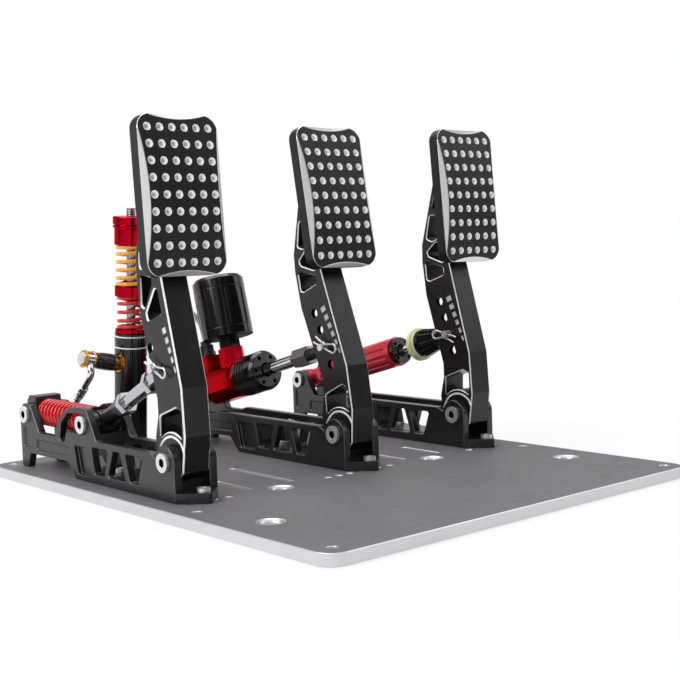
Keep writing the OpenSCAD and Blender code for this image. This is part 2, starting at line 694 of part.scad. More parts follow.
module reservoir() {
  h = reservoir_h;
  d = reservoir_d;
  low = stub_n - neck_n;
  color([0.05, 0.05, 0.05]) brake_link() translate([0, stub_s, neck_n]) difference() {
    union() {
      cylinder(h = h - 3, d = d);
      translate([0, 0, h - 3]) cylinder(h = 3, d1 = d, d2 = d - 5);
      translate([0, 0, low]) cylinder(h = 7, d = 20.5, $fn = 6);
      translate([0, 0, low]) cylinder(h = 1 - low, d = 16.5);
      translate([0, 0, low - 6]) cylinder(h = 7, d = 9.9);
    }
    translate([0, 0, 4]) cylinder(h = h - 12, d = d - 6);
    translate([0, 0, low - 7]) cylinder(h = 12 - low, d = 5);
    for (z = [7, h - 11]) translate([0, 0, z]) difference() {
      cylinder(h = 1, d = d + 2);
      translate([0, 0, -1]) cylinder(h = 3, d = d - 1.2);
    }
    for (k = [20:45:335]) rotate(k) translate([d / 2 + 0.6, 0, 10]) cylinder(h = h - 23, d = 3);
    for (k = [30:60:330]) rotate(k) translate([12, 0, h - 2]) cylinder(h = 3, d = 3);
  }
}
module outlet_fitting() {
  color([0.2, 0.2, 0.2]) brake_link() translate([0, outlet_s, 29]) difference() {
    union() {
      cylinder(h = 4, d = 15);
      translate([0, 0, 4]) cylinder(h = 6, d = 12 / cos(30), $fn = 6);
      translate([0, 0, 10]) cylinder(h = 4, d = 10);
      translate([0, 0, -6]) cylinder(h = 7, d = 5.9);
    }
    translate([0, 0, 12.2]) cylinder(h = 4, d = hose_d + 2 * open_gap);
  }
}

// upright spring unit
module slave_body() {
  color([0.06, 0.06, 0.06]) on_slave() difference() {
    union() {
      intersection() {
        translate([0, 0, -10]) cylinder(h = 16, r = 24);
        rotate([-slave_lean, 0, 0]) cylinder(h = 30, r = 40);
      }
      intersection() {
        translate([0, 0, -10]) cylinder(h = piston_a + 10, r = slave_r);
        rotate([-slave_lean, 0, 0]) cylinder(h = 140, r = 40);
      }
    }
    translate([0, 0, piston_a - 39.6]) cylinder(h = 60, d = stem_d + 2 * open_gap);
    translate([0, 0, 30]) cylinder(h = piston_a - 45, d = centre_rod_d + 0.1);
    for (z = [piston_a - 12.6, piston_a - 3]) translate([0, 0, z]) difference() {
      cylinder(h = 1, r = slave_r + 1);
      translate([0, 0, -1]) cylinder(h = 3, r = slave_r - 0.7);
    }
    for (k = [45, 135, 225, 315]) rotate(k) translate([19.5, 0, -10]) cylinder(h = 20, d = 4.4);
    translate([0, 0, port_a]) rotate([0, 0, port_turn]) rotate([0, -port_rise, 0]) {
      rod_x(6, 20, 7.9);
      rod_x(port_x, 30, 16.4);
    }
  }
}
module slave_rod() {
  color([0.25, 0.25, 0.26]) on_slave() difference() {
    translate([0, 0, 30.2]) cylinder(h = cap_a + cap_h - 22, d = centre_rod_d);
    for (k = [0:2]) translate([0, 0, cap_a + cap_h + 2 + 2 * k]) difference() {
      cylinder(h = 0.8, d = centre_rod_d + 2);
      translate([0, 0, -1]) cylinder(h = 3, d = centre_rod_d - 1);
    }
  }
}
stem_d = 16;
module slave_piston() {
  color([0.75, 0.05, 0.06]) on_slave() difference() {
    union() {
      translate([0, 0, piston_a + 0.3]) cylinder(h = seat_t - 0.3, r = 13.6);
      translate([0, 0, piston_a - 33.6]) cylinder(h = 36, d = stem_d);
    }
    translate([0, 0, piston_a - 45]) cylinder(h = 60, d = centre_rod_d + 2 * open_gap);
  }
}
module slave_lower_spring() {
  color([0.8, 0.06, 0.06]) on_slave() translate([0, 0, seat_a])
    coil(lower_spring_d, lower_len, brake_wire, lower_turns);
}
module slave_collar() {
  color([0.75, 0.05, 0.06]) on_slave() difference() {
    union() {
      translate([0, 0, collar_a]) cylinder(h = collar_t, r = 14);
      translate([0, 0, collar_a - 4]) cylinder(h = collar_t + 8, d = centre_rod_d + 7);
    }
    translate([0, 0, collar_a - 10]) cylinder(h = collar_t + 20, d = centre_rod_d + 2 * open_gap);
  }
}
module slave_upper_spring() {
  color([0.95, 0.6, 0.1]) on_slave() translate([0, 0, collar_end_a])
    coil(upper_spring_d, upper_len, brake_wire, upper_turns);
}
module slave_top() {
  color([0.75, 0.03, 0.06]) on_slave() difference() {
    union() {
      translate([0, 0, cup_a]) cylinder(h = cup_h + 1, r = 14.3);
      translate([0, 0, cap_a]) cylinder(h = cap_h, r = 15.6);
      translate([0, 0, cap_a + cap_h]) cylinder(h = 1, r1 = 15.6, r2 = 14.6);
    }
    translate([0, 0, cup_a - 10]) cylinder(h = cup_h + cap_h + 34, d = centre_rod_d + 0.1);
    for (z = [cap_a - 0.6, cap_a + 2.4]) translate([0, 0, z]) difference() {
      cylinder(h = 0.9, r = 18);
      translate([0, 0, -1]) cylinder(h = 3, r = 14.2);
    }
  }
}

// pipe joint on the spring unit, and the hose
port_x = slave_r - 2;
washer_t = 1.2;
adapter_x = port_x + washer_t;
adapter_len = 28.7;
eye_x = adapter_x + adapter_len;
banjo_w = 6.7;
head_x = eye_x + 2 * washer_t + banjo_w;
ferrule_turn = 42;
elbow_r = 14.3;
pipe_d = 6.2;
pipe_way = [-0.05, 0.72, -0.69];
module banjo_adapter() {
  color([0.12, 0.12, 0.12]) on_port() difference() {
    union() {
      rod_x(10.4, adapter_x, 7.8);
      rod_x(adapter_x, eye_x, 13.4);
      rod_x(adapter_x + 3, eye_x - 3, 15);
    }
    rod_x(eye_x - 12, eye_x + 5, 6.1);
  }
}
module banjo_washers() {
  color([0.8, 0.55, 0.2]) on_port() for (x = [port_x, eye_x, head_x - washer_t]) difference() {
    rod_x(x, x + washer_t, 15.2);
    rod_x(x - 1, x + 3, x < eye_x ? 7.9 : 6.1);
  }
}
module strut(p, q, d) {
  v = q - p;
  translate(p) rotate([0, acos(v[2] / norm(v)), atan2(v[1], v[0])]) cylinder(h = norm(v), d = d);
}
module banjo_eye() {
  color([0.78, 0.78, 0.78]) difference() {
    union() {
      on_port() rod_x(eye_x + washer_t, eye_x + washer_t + banjo_w, 14.2);
      translate([0, 0, plate_t]) {
        strut(ferrule_point(4), ferrule_point(elbow_r), pipe_d);
        translate(ferrule_point(elbow_r)) sphere(d = pipe_d + 0.8);
        strut(ferrule_point(elbow_r), pipe_point(25), pipe_d);
        strut(pipe_point(18.5), pipe_point(31), 8.4);
      }
    }
    on_port() rod_x(eye_x, eye_x + 2 * washer_t + banjo_w, 6.1);
  }
}
module banjo_bolt() {
  color([0.78, 0.78, 0.78]) on_port() {
    rod_x(eye_x - 11, head_x + 1, 6);
    translate([head_x, 0, 0]) rotate([0, 90, 0]) cylinder(h = 2.6, d = 10 / cos(30), $fn = 6);
  }
}
hose_d = 5.6;
function turn_x(v, a) = [v[0], v[1] * cos(a) - v[2] * sin(a), v[1] * sin(a) + v[2] * cos(a)];
function turn_y(v, a) = [v[0] * cos(a) + v[2] * sin(a), v[1], v[2] * cos(a) - v[0] * sin(a)];
function turn_z(v, a) = [v[0] * cos(a) - v[1] * sin(a), v[0] * sin(a) + v[1] * cos(a), v[2]];
function port_point(v) = [slave_at[0], slave_at[1], 0]
  + turn_x([0, 0, port_a] + turn_z(turn_y(v, -port_rise), port_turn), slave_lean);
function ferrule_point(r) =
  port_point([eye_x + washer_t + banjo_w / 2, r * sin(ferrule_turn), -r * cos(ferrule_turn)]);
function pipe_point(t) = ferrule_point(elbow_r) + t * unit(pipe_way);
function outlet_point(n) = let (a = slope(brake_pin_at, rear_bolt))
  [brake_x, pivot_y + brake_pin_at[0] + outlet_s * cos(a) + n * sin(a),
    brake_pin_at[1] - outlet_s * sin(a) + n * cos(a)];
// hose route, heights over the plate
hose_points = [pipe_point(31.1), pipe_point(36), [-114.2, 199, 43.6], [-114.3, 207.1, 32.9],
  [-110.9, 212.3, 21.6], [-102.9, 215.3, 12.1], [-91.6, 216.3, 6.2], [-78.7, 216.3, 5], [-64.7, 216.3, 6.3],
  [-52.5, 216.3, 12.5], [-43.5, 216.3, 22.9], [-39, 216.3, 35.8], [-38.3, 216.3, 49.7], [-38.5, 216.3, 63.5],
  [-38.8, 216.3, 77.4], [-37.9, 216.3, 91.3], [-33.7, 215.4, 104.2], [-25.8, 211.8, 114.8],
  [-15.7, 205.6, 121.5], [-5, 197.4, 122.9], [4.3, 188.7, 118.6], [10.1, 181.5, 109.4],
  outlet_point(48.2), outlet_point(41.4)];
module hose() {
  color([0.7, 0.7, 0.72]) translate([0, 0, plate_t]) hose_tube();
}
function curve(p, i, t) =
  let (a = p[max(0, i - 1)], b = p[i], c = p[i + 1], d = p[min(len(p) - 1, i + 2)])
  0.5 * (2 * b + (c - a) * t + (2 * a - 5 * b + 4 * c - d) * t * t + (3 * b - a - 3 * c + d) * t * t * t);
function across(n, t) = unit(n - (n * t) * t);
module hose_tube() {
  s = 10;
  last = len(hose_points) - 1;
  p = concat([for (i = [0:last - 1], t = [0, 0.5]) curve(hose_points, i, t)], [hose_points[last]]);
  n = len(p);
  t = [for (i = [0:n - 1]) unit(p[min(n - 1, i + 1)] - p[max(0, i - 1)])];
  e = [for (i = 0, v = across([1, 0, 0], t[0]); i < n; i = i + 1, v = across(v, t[min(i, n - 1)])) v];
  ring = [for (i = [0:n - 1]) let (b = cross(t[i], e[i])) for (k = [0:s - 1])
    p[i] + hose_d / 2 * (cos(360 * k / s) * e[i] + sin(360 * k / s) * b)];
  side = [for (i = [0:n - 2], k = [0:s - 1], h = [0, 1])
    let (a = s * i + k, q = s * i + (k + 1) % s) h == 0 ? [a, q + s, q] : [a, a + s, q + s]];
  m = s * (n - 1);
  ends = concat([for (k = [1:s - 2]) [0, k, k + 1]], [for (k = [1:s - 2]) [m, m + k + 1, m + k]]);
  polyhedron(points = ring, faces = concat(side, ends), convexity = 10);
}

// throttle damper
module damper_knob() {
  color([0.08, 0.08, 0.08]) throttle_link() difference() {
    union() {
      eye_end(knob_s, eye_w, eye_r, 13);
      cone_y(knob_s - 2, knob_s + 4, 14, damper_d - 10);
      cone_y(knob_s + 4, ring_s - 4, damper_d - 10, damper_d - 4.4);
      rod_y(ring_s - 4, ring_s, damper_d - 2);
      for (k = [0:24:336]) rotate([0, k, 0]) translate([damper_d / 2 - 5.6, knob_s + 4, -1.2])
        rotate([0, 0, -atan(2.8 / (ring_s - knob_s - 8))]) cube([1.8, ring_s - knob_s - 7.4, 2.4]);
    }
    rod_y(36, 60, 10.1);
  }
}
module bumper_ring() {
  color([0.85, 0.87, 0.55]) throttle_link() difference() {
    union() {
      rod_y(ring_s, ring_end_s, damper_d - 0.6);
      rod_y(ring_s + 2.6, ring_end_s - 1.8, damper_d + 2.4);
    }
    rod_y(ring_s - 1, ring_end_s + 1, 10.2);
  }
}
module damper_rod() {
  color([0.8, 0.8, 0.82]) throttle_link() {
    rod_y(36.2, 150, 10);
    rod_y(138, 150, damper_bore_d - 2 * open_gap);
  }
}
module damper_cap() {
  color([0.08, 0.08, 0.08]) throttle_link() difference() {
    rod_y(damper_s, damper_s + 5, damper_d - 2.6);
    rod_y(damper_s - 1, damper_s + 8, 10 + 2 * open_gap);
    for (k = [45:90:315]) rotate([0, k, 0]) translate([9.4, 0, 0]) rod_y(damper_s - 1, damper_s + 3, 3);
  }
}
module damper_body() {
  color([0.7, 0.03, 0.05]) throttle_link() difference() {
    union() {
      rod_y(damper_s + 5, 184, damper_d);
      rod_y(183, throttle_len, 17.4);
      translate([0, throttle_len, 0]) rod_x(-inner_w / 2 + side_gap, inner_w / 2 - side_gap, 19);
    }
    rod_y(damper_s + 4, 176, damper_bore_d);
    for (k = [15:30:345]) rotate([0, k, 0]) translate([damper_d / 2 + 0.8, 0, 0])
      rod_y(damper_s + 11, 179, 4.2);
    translate([0, throttle_len, 0]) rod_x(-20, 20, bolt_d + 2 * run_gap);
  }
}

base_plate();
rail_bolts();
pivot_bolts();
pivot_bushes();
rear_bolts();
clutch_left_wall();
clutch_right_wall();
clutch_floor();
clutch_arm();
clutch_pad();
clutch_pad_screws();
clutch_clevis_pin();
clutch_clip();
clutch_rod_fork();
clutch_rod_tube();
clutch_rod_nuts();
clutch_rod_end();
clutch_cam_pin();
clutch_front_seat();
clutch_rear_seat();
clutch_spring();
brake_left_wall();
brake_right_wall();
brake_floor();
brake_arm();
brake_pad();
brake_pad_screws();
brake_clevis_pin();
brake_clip();
brake_rod_fork();
brake_rod();
cylinder_cap();
cylinder_body();
reservoir();
outlet_fitting();
slave_body();
slave_rod();
slave_piston();
slave_lower_spring();
slave_collar();
slave_upper_spring();
slave_top();
banjo_adapter();
banjo_washers();
banjo_eye();
banjo_bolt();
hose();
throttle_left_wall();
throttle_right_wall();
throttle_floor();
throttle_arm();
throttle_pad();
throttle_pad_screws();
throttle_clevis_pin();
throttle_clip();
damper_knob();
bumper_ring();
damper_rod();
damper_cap();
damper_body();
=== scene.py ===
import json
import math

import bpy
from mathutils import Matrix, Vector


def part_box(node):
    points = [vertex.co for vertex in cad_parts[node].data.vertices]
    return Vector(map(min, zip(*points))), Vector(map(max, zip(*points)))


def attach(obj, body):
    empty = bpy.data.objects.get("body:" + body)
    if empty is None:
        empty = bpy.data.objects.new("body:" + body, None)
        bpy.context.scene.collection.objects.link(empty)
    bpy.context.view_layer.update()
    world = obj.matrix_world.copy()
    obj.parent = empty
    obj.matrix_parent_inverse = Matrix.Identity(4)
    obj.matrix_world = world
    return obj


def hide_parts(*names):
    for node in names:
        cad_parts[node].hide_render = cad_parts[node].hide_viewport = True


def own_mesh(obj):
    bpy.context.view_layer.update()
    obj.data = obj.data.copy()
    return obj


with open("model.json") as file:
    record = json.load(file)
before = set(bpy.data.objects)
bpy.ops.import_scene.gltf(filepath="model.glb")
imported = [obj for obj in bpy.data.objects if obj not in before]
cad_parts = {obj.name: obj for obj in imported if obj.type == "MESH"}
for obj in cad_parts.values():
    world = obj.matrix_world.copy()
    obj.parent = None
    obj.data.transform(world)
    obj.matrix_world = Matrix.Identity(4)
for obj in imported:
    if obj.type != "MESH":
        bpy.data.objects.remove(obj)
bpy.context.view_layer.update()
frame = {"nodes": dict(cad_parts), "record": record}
scene = bpy.context.scene
scene.view_settings.view_transform = "Standard"

MM = 0.001
RECORD = frame["record"]
BODY_OF = {n: b for b, nodes in RECORD["behaviour"]["bodies"].items() for n in nodes}
SLOT_OF = {s["node"]: s["material_slot"] for s in RECORD["subparts"]}

# each pedal's middle on X in millimetres and its lean in degrees
PEDALS = {"clutch": (-145.6, 3.7), "brake": (11.6, 9.4), "throttle": (146.4, 4.6)}
PIVOT_Y, PIVOT_Z = -23.0, 36.5
ARM_HALF = 11.3


# camera at the photo's viewing angle; place in metres, turns in degrees

CAMERA_AT = (-0.6206, -0.74505, 0.1874)
YAW, PITCH, ROLL = 40.80, 4.62, 1.80
FOCAL_PIXELS, PHOTO_PIXELS, SENSOR_MM = 1217.2, 680, 36


def place_camera():
    yaw, pitch, roll = (math.radians(a) for a in (YAW, PITCH, ROLL))
    level = math.cos(pitch)
    ahead = Vector((math.sin(yaw) * level, math.cos(yaw) * level, -math.sin(pitch)))
    right = Vector((math.cos(yaw), -math.sin(yaw), 0))
    down = ahead.cross(right)
    turned_right = right * math.cos(roll) + down * math.sin(roll)
    lowered = down * math.cos(roll) - right * math.sin(roll)
    lens = bpy.data.cameras.new("photo_camera")
    lens.sensor_width = SENSOR_MM
    lens.lens = SENSOR_MM * FOCAL_PIXELS / PHOTO_PIXELS
    lens.clip_start, lens.clip_end = 0.01, 50
    holder = bpy.data.objects.new("photo_camera", lens)
    scene.collection.objects.link(holder)
    axes = Matrix((turned_right, -lowered, -ahead)).transposed().to_4x4()
    holder.matrix_world = Matrix.Translation(CAMERA_AT) @ axes
    scene.camera = holder


# node groups shared by the finishes

COLOUR, NUMBER, ARROW = "NodeSocketColor", "NodeSocketFloat", "NodeSocketVector"
SURFACE_OUT = [("Colour", COLOUR), ("Rough", NUMBER), ("Height", NUMBER)]
STRANDS, STRAND_LEAN = 8, 0.5


def new_group(name, inputs, outputs):
    tree = bpy.data.node_groups.new(name, "ShaderNodeTree")
    for label, kind, value in inputs:
        tree.interface.new_socket(name=label, in_out="INPUT", socket_type=kind).default_value = value
    for label, kind in outputs:
        tree.interface.new_socket(name=label, in_out="OUTPUT", socket_type=kind)
    return tree, tree.nodes.new("NodeGroupInput").outputs, tree.nodes.new("NodeGroupOutput").inputs


def put(tree, kind, **settings):
    node = tree.nodes.new(kind)
    for key, value in settings.items():
        setattr(node, key, value)
    return node


def noise(tree, vector, scale, detail=2.0):
    node = put(tree, "ShaderNodeTexNoise")
    tree.links.new(vector, node.inputs["Vector"])
    if isinstance(scale, (int, float)):
        node.inputs["Scale"].default_value = scale
    else:
        tree.links.new(scale, node.inputs["Scale"])
    node.inputs["Detail"].default_value = detail
    return node.outputs["Fac"]


def calc(tree, operation, a, b):
    node = put(tree, "ShaderNodeMath", operation=operation)
    for socket, value in zip(node.inputs, (a, b)):
        if isinstance(value, (int, float)):
            socket.default_value = value
        else:
            tree.links.new(value, socket)
    return node.outputs[0]


def spread(tree, value, low, high, start=0.3, stop=0.7):
    node = put(tree, "ShaderNodeMapRange")
    tree.links.new(value, node.inputs["Value"])
    for label, number in (("From Min", start), ("From Max", stop), ("To Min", low), ("To Max", high)):
        node.inputs[label].default_value = number
    return node.outputs["Result"]


def shade(tree, colour, factor):
    node = put(tree, "ShaderNodeVectorMath", operation="SCALE")
    tree.links.new(colour, node.inputs[0])
    tree.links.new(factor, node.inputs["Scale"])
    return node.outputs[0]


def make_satin_grain():
    tree, given, out = new_group("satin_grain", [
        ("Colour", COLOUR, (0.5, 0.5, 0.5, 1)), ("Rough", NUMBER, 0.4), ("Grain", NUMBER, 2200.0),
        ("Marks", NUMBER, 0.1)], SURFACE_OUT)
    place = put(tree, "ShaderNodeTexCoord").outputs["Object"]
    fine = noise(tree, place, given["Grain"])
    cloud = noise(tree, place, 24.0, 4.0)
    rubbed = noise(tree, place, 140.0, 5.0)
    tone = calc(tree, "ADD", spread(tree, cloud, 0.95, 1.05), spread(tree, fine, -0.06, 0.06))
    tree.links.new(shade(tree, given["Colour"], tone), out["Colour"])
    worn = calc(tree, "MULTIPLY", spread(tree, rubbed, -1.0, 1.0), given["Marks"])
    rough = calc(tree, "ADD", calc(tree, "ADD", given["Rough"], worn), spread(tree, fine, -0.04, 0.04))
    tree.links.new(rough, out["Rough"])
    tree.links.new(fine, out["Height"])
    return tree


def make_brush_lines():
    tree, given, out = new_group("brush_lines", [
        ("Colour", COLOUR, (0.8, 0.8, 0.8, 1)), ("Rough", NUMBER, 0.3), ("Stretch", ARROW, (60, 2500, 2500)),
        ("Depth", NUMBER, 0.12)], SURFACE_OUT)
    place = put(tree, "ShaderNodeTexCoord").outputs["Object"]
    scaled = put(tree, "ShaderNodeVectorMath", operation="MULTIPLY")
    tree.links.new(place, scaled.inputs[0])
    tree.links.new(given["Stretch"], scaled.inputs[1])
    lines = noise(tree, scaled.outputs[0], 1.0, 4.0)
    cloud = noise(tree, place, 30.0, 3.0)
    tone = calc(tree, "ADD", spread(tree, lines, 0.94, 1.04), spread(tree, cloud, -0.03, 0.03))
    tree.links.new(shade(tree, given["Colour"], tone), out["Colour"])
    worn = calc(tree, "MULTIPLY", spread(tree, lines, -1.0, 1.0), given["Depth"])
    tree.links.new(calc(tree, "ADD", given["Rough"], worn), out["Rough"])
    tree.links.new(lines, out["Height"])
    return tree


def make_braid():
    tree, given, out = new_group("braid", [
        ("Light", COLOUR, (0.6, 0.6, 0.62, 1)), ("Dark", COLOUR, (0.05, 0.05, 0.055, 1)),
        ("Rough", NUMBER, 0.35)], SURFACE_OUT)
    track = put(tree, "ShaderNodeTexCoord").outputs["UV"]
    split = put(tree, "ShaderNodeSeparateXYZ")
    tree.links.new(track, split.inputs[0])
    strands = []
    for side in (1.0, -1.0):
        turned_by = calc(tree, "MULTIPLY", split.outputs["X"], side * STRAND_LEAN)
        lean = calc(tree, "ADD", split.outputs["Y"], turned_by)
        wave = calc(tree, "SINE", calc(tree, "MULTIPLY", lean, 2 * math.pi * STRANDS), 0.0)
        strands.append(calc(tree, "ABSOLUTE", wave, 0.0))
    weave = calc(tree, "MAXIMUM", strands[0], strands[1])
    mix = put(tree, "ShaderNodeMix", data_type="RGBA")
    tree.links.new(spread(tree, weave, 0.0, 1.0, 0.25, 0.85), mix.inputs["Factor"])
    tree.links.new(given["Dark"], mix.inputs["A"])
    tree.links.new(given["Light"], mix.inputs["B"])
    tree.links.new(mix.outputs["Result"], out["Colour"])
    tree.links.new(calc(tree, "ADD", given["Rough"], spread(tree, weave, 0.2, 0.0)), out["Rough"])
    tree.links.new(weave, out["Height"])
    return tree


SATIN_GRAIN = make_satin_grain()
BRUSH_LINES = make_brush_lines()
BRAID = make_braid()


def finish(name, group, values, metallic=0.0, bump=0.1, bump_mm=0.05, **sockets):
    """A finish whose colour, roughness and bump come from a shared group."""
    material = bpy.data.materials.new(name)
    material.use_nodes = True
    tree = material.node_tree
    shader = tree.nodes["Principled BSDF"]
    skin = put(tree, "ShaderNodeGroup", node_tree=group)
    for label, value in values.items():
        skin.inputs[label].default_value = value
    tree.links.new(skin.outputs["Colour"], shader.inputs["Base Color"])
    tree.links.new(skin.outputs["Rough"], shader.inputs["Roughness"])
    raised = put(tree, "ShaderNodeBump")
    raised.inputs["Strength"].default_value = bump
    raised.inputs["Distance"].default_value = bump_mm * MM
    tree.links.new(skin.outputs["Height"], raised.inputs["Height"])
    tree.links.new(raised.outputs["Normal"], shader.inputs["Normal"])
    shader.inputs["Metallic"].default_value = metallic
    for label, value in sockets.items():
        shader.inputs[label.replace("_", " ").title().replace("Ior", "IOR")].default_value = value
    return material


def satin(name, colour, rough, grain=2200.0, marks=0.08, **more):
    values = {"Colour": (*colour, 1), "Rough": rough, "Grain": grain, "Marks": marks}
    return finish(name, SATIN_GRAIN, values, **more)


def brushed(name, colour, rough, stretch, depth=0.1, metallic=1.0, **more):
    values = {"Colour": (*colour, 1), "Rough": rough, "Stretch": stretch, "Depth": depth}
    return finish(name, BRUSH_LINES, values, metallic=metallic, **more)


FINISH = {
    "black_satin": satin("black_anodised", (0.0085, 0.0085, 0.0095), 0.30, marks=0.03, bump=0.04,
                         specular_ior_level=0.6),
    "arm_black": satin("arm_black", (0.006, 0.006, 0.0065), 0.30, marks=0.03, bump=0.04,
                       specular_ior_level=0.42),
    "pad_black": satin("pad_black", (0.0055, 0.0055, 0.006), 0.42, marks=0.03, bump=0.06,
                       specular_ior_level=0.35),
    # painted highlight: a lighter black on the rails' chamfers, standing in for light caught along their
    # edges
    "painted_highlight_black": satin("painted_highlight_black", (0.045, 0.045, 0.047), 0.34, marks=0.03, bump=0.03,
                        specular_ior_level=0.8),
    # painted shade: a near-black with almost no shine, laid on undersides and in bolt sockets where shade
    # falls
    "painted_shade_black": satin("painted_shade_black", (0.004, 0.004, 0.004), 0.6, specular_ior_level=0.05),
    "plate_grey": satin("plate_grey", (0.165, 0.162, 0.167), 0.55, marks=0.05, bump=0.06,
                        specular_ior_level=0.2),
    "cut_aluminium": brushed("cut_aluminium", (0.76, 0.76, 0.765), 0.32, (1200, 1200, 60), depth=0.04,
                             bump=0.01, metallic=0.75),
    "bright_edge": brushed("bright_edge", (0.95, 0.95, 0.955), 0.45, (900, 900, 900), depth=0.04, bump=0.02,
                           metallic=0.12),
    "dimple_silver": brushed("dimple_silver", (0.97, 0.97, 0.97), 0.32, (3000, 3000, 3000), depth=0.04,
                             bump=0.02, metallic=0.15),
    # painted shade: a darker grey on each dimple's flat floor, where shade falls in the hollow
    "painted_shade_dimple_floor": brushed("painted_shade_dimple_floor", (0.52, 0.52, 0.525), 0.34, (3000, 3000, 3000), depth=0.04,
                            bump=0.02, metallic=0.3),
    "plate_edge": brushed("plate_edge", (0.70, 0.70, 0.71), 0.36, (40, 40, 3000), bump=0.1, metallic=0.8),
    "bright_steel": brushed("bright_steel", (0.72, 0.72, 0.73), 0.24, (4000, 4000, 4000), depth=0.05,
                            bump=0.02, metallic=0.65),
    "rod_steel": brushed("rod_steel", (0.36, 0.35, 0.36), 0.24, (1500, 1500, 1500), depth=0.05, bump=0.02),
    "rod_bright": brushed("rod_bright", (0.52, 0.52, 0.53), 0.15, (1500, 80, 1500), depth=0.03, bump=0.02),
    "chrome_rod": brushed("chrome_rod", (0.82, 0.82, 0.84), 0.08, (1500, 80, 1500), depth=0.03, bump=0.02),
    "red_metal": satin("red_anodised", (0.42, 0.0008, 0.012), 0.17, metallic=1.0, marks=0.03, bump=0.02,
                       coat_weight=0.04, coat_roughness=0.05, specular_tint=(0.9, 0.2, 0.25, 1)),
    "damper_red": satin("damper_red", (0.60, 0.025, 0.045), 0.22, metallic=0.3, marks=0.03, bump=0.02,
                        coat_weight=0.1, coat_roughness=0.06),
    "red_spring": satin("red_spring_paint", (0.62, 0.005, 0.008), 0.2, grain=500.0, marks=0.04, bump=0.03,
                        coat_weight=0.3, coat_roughness=0.06),
    "yellow_spring": satin("yellow_spring_paint", (0.83, 0.36, 0.03), 0.24, grain=500.0, marks=0.05,
                           bump=0.03, coat_weight=0.4, coat_roughness=0.1),
    "black_gloss": satin("black_gloss", (0.004, 0.004, 0.0045), 0.12, grain=700.0, marks=0.03, bump=0.015),
    "dark_steel": satin("dark_steel", (0.05, 0.05, 0.053), 0.26, metallic=0.6, marks=0.05, bump=0.03),
    "bronze": brushed("bronze", (0.50, 0.34, 0.15), 0.32, (1200, 1200, 1200)),
    "gold_washer": brushed("gold_washer", (0.80, 0.43, 0.09), 0.22, (1200, 1200, 1200), bump=0.03),
    "bumper": satin("bumper_rubber", (0.74, 0.77, 0.42), 0.36, grain=900.0, marks=0.04, bump=0.05,
                    subsurface_weight=0.25, subsurface_scale=0.002),
    "mark_white": satin("mark_paint", (0.60, 0.60, 0.60), 0.45, grain=1500.0, bump=0.05),
    "hose_braid": finish("hose_braid", BRAID, {"Rough": 0.3}, metallic=0.7, bump=0.5, bump_mm=0.3),
}


# modelling helpers

MERGE_M, FLAT_DEGREES = 2e-6, 0.4
SHARP_DEGREES, SMOOTH_DEGREES = 32.0, 38.0
EDGE_SHARES = (1.0, 0.6, 0.35, 0.2, 0.0)
SLIVER_MM2 = 0.25


def only(piece):
    if bpy.context.object and bpy.context.object.mode != "OBJECT":
        bpy.ops.object.mode_set(mode="OBJECT")
    bpy.ops.object.select_all(action="DESELECT")
    piece.select_set(True)
    bpy.context.view_layer.objects.active = piece


def edit(piece, kind="EDGE"):
    only(piece)
    bpy.ops.object.mode_set(mode="EDIT")
    bpy.ops.mesh.select_mode(type=kind)


def done():
    bpy.ops.object.mode_set(mode="OBJECT")


def apply_placing():
    bpy.ops.object.transform_apply(location=True, rotation=True, scale=True)


def take_copy(node):
    """A merged copy of a CAD node, with its nearly flat faces joined into one."""
    source = frame["nodes"][node]
    piece = bpy.data.objects.new(node + "_finished", source.data.copy())
    scene.collection.objects.link(piece)
    piece.data.materials.clear()
    only(piece)
    bpy.ops.mesh.customdata_custom_splitnormals_clear()
    edit(piece)
    bpy.ops.mesh.select_all(action="SELECT")
    bpy.ops.mesh.remove_doubles(threshold=MERGE_M)
    bpy.ops.mesh.dissolve_limited(angle_limit=math.radians(FLAT_DEGREES))
    done()
    return piece


def pick_edges(piece, wanted):
    """Selects just the edges that wanted(edge, a, b) keeps, a and b being their ends."""
    mesh = piece.data
    keep = [wanted(e, mesh.vertices[e.vertices[0]].co, mesh.vertices[e.vertices[1]].co) for e in mesh.edges]
    for group in (mesh.vertices, mesh.polygons):
        group.foreach_set("select", [False] * len(group))
    mesh.edges.foreach_set("select", keep)


def round_edges(piece, width, segments=2, sharp=SHARP_DEGREES, slot=-1, chosen=None):
    """Bevels the sharp edges, or those of them that chosen(a, b) keeps."""
    edit(piece)
    bpy.ops.mesh.select_all(action="DESELECT")
    bpy.ops.mesh.edges_select_sharp(sharpness=math.radians(sharp))
    if chosen:
        done()
        pick_edges(piece, lambda edge, a, b: edge.select and chosen(a, b))
        edit(piece)
    bpy.ops.mesh.bevel(offset=width * MM, segments=segments, affect="EDGES", clamp_overlap=False,
                       loop_slide=False, material=slot)
    done()


def sound(piece):
    """False where a rounded edge has run into another and turned a face over."""
    mesh = piece.data
    mesh.calc_loop_triangles()
    return not any(part.area > SLIVER_MM2 * MM ** 2
                   and part.normal.dot(mesh.polygons[part.polygon_index].normal) < 0
                   for part in mesh.loop_triangles)


def coat(piece, *names):
    for name in names:
        piece.data.materials.append(FINISH[name])


def finished_copy(node, coats, width, segments=2, slot=-1, chosen=None):
    """A copy of a CAD node with the widest edges that fit it, from width down."""
    for share in EDGE_SHARES:
        piece = take_copy(node)
        coat(piece, *coats)
        if share:
            round_edges(piece, width * share, segments, slot=slot, chosen=chosen)
        if not share or sound(piece):
            break
        bpy.data.meshes.remove(piece.data)
    return piece


def smooth(piece, angle=SMOOTH_DEGREES):
    only(piece)
    bpy.ops.object.shade_smooth_by_angle(angle=math.radians(angle))
    weigh = piece.modifiers.new("weigh", "WEIGHTED_NORMAL")
    weigh.keep_sharp = True
    bpy.ops.object.modifier_apply(modifier="weigh")


def paint(piece, slot, wanted):
    for face in piece.data.polygons:
        if wanted(face.center, face.normal):
            face.material_index = slot


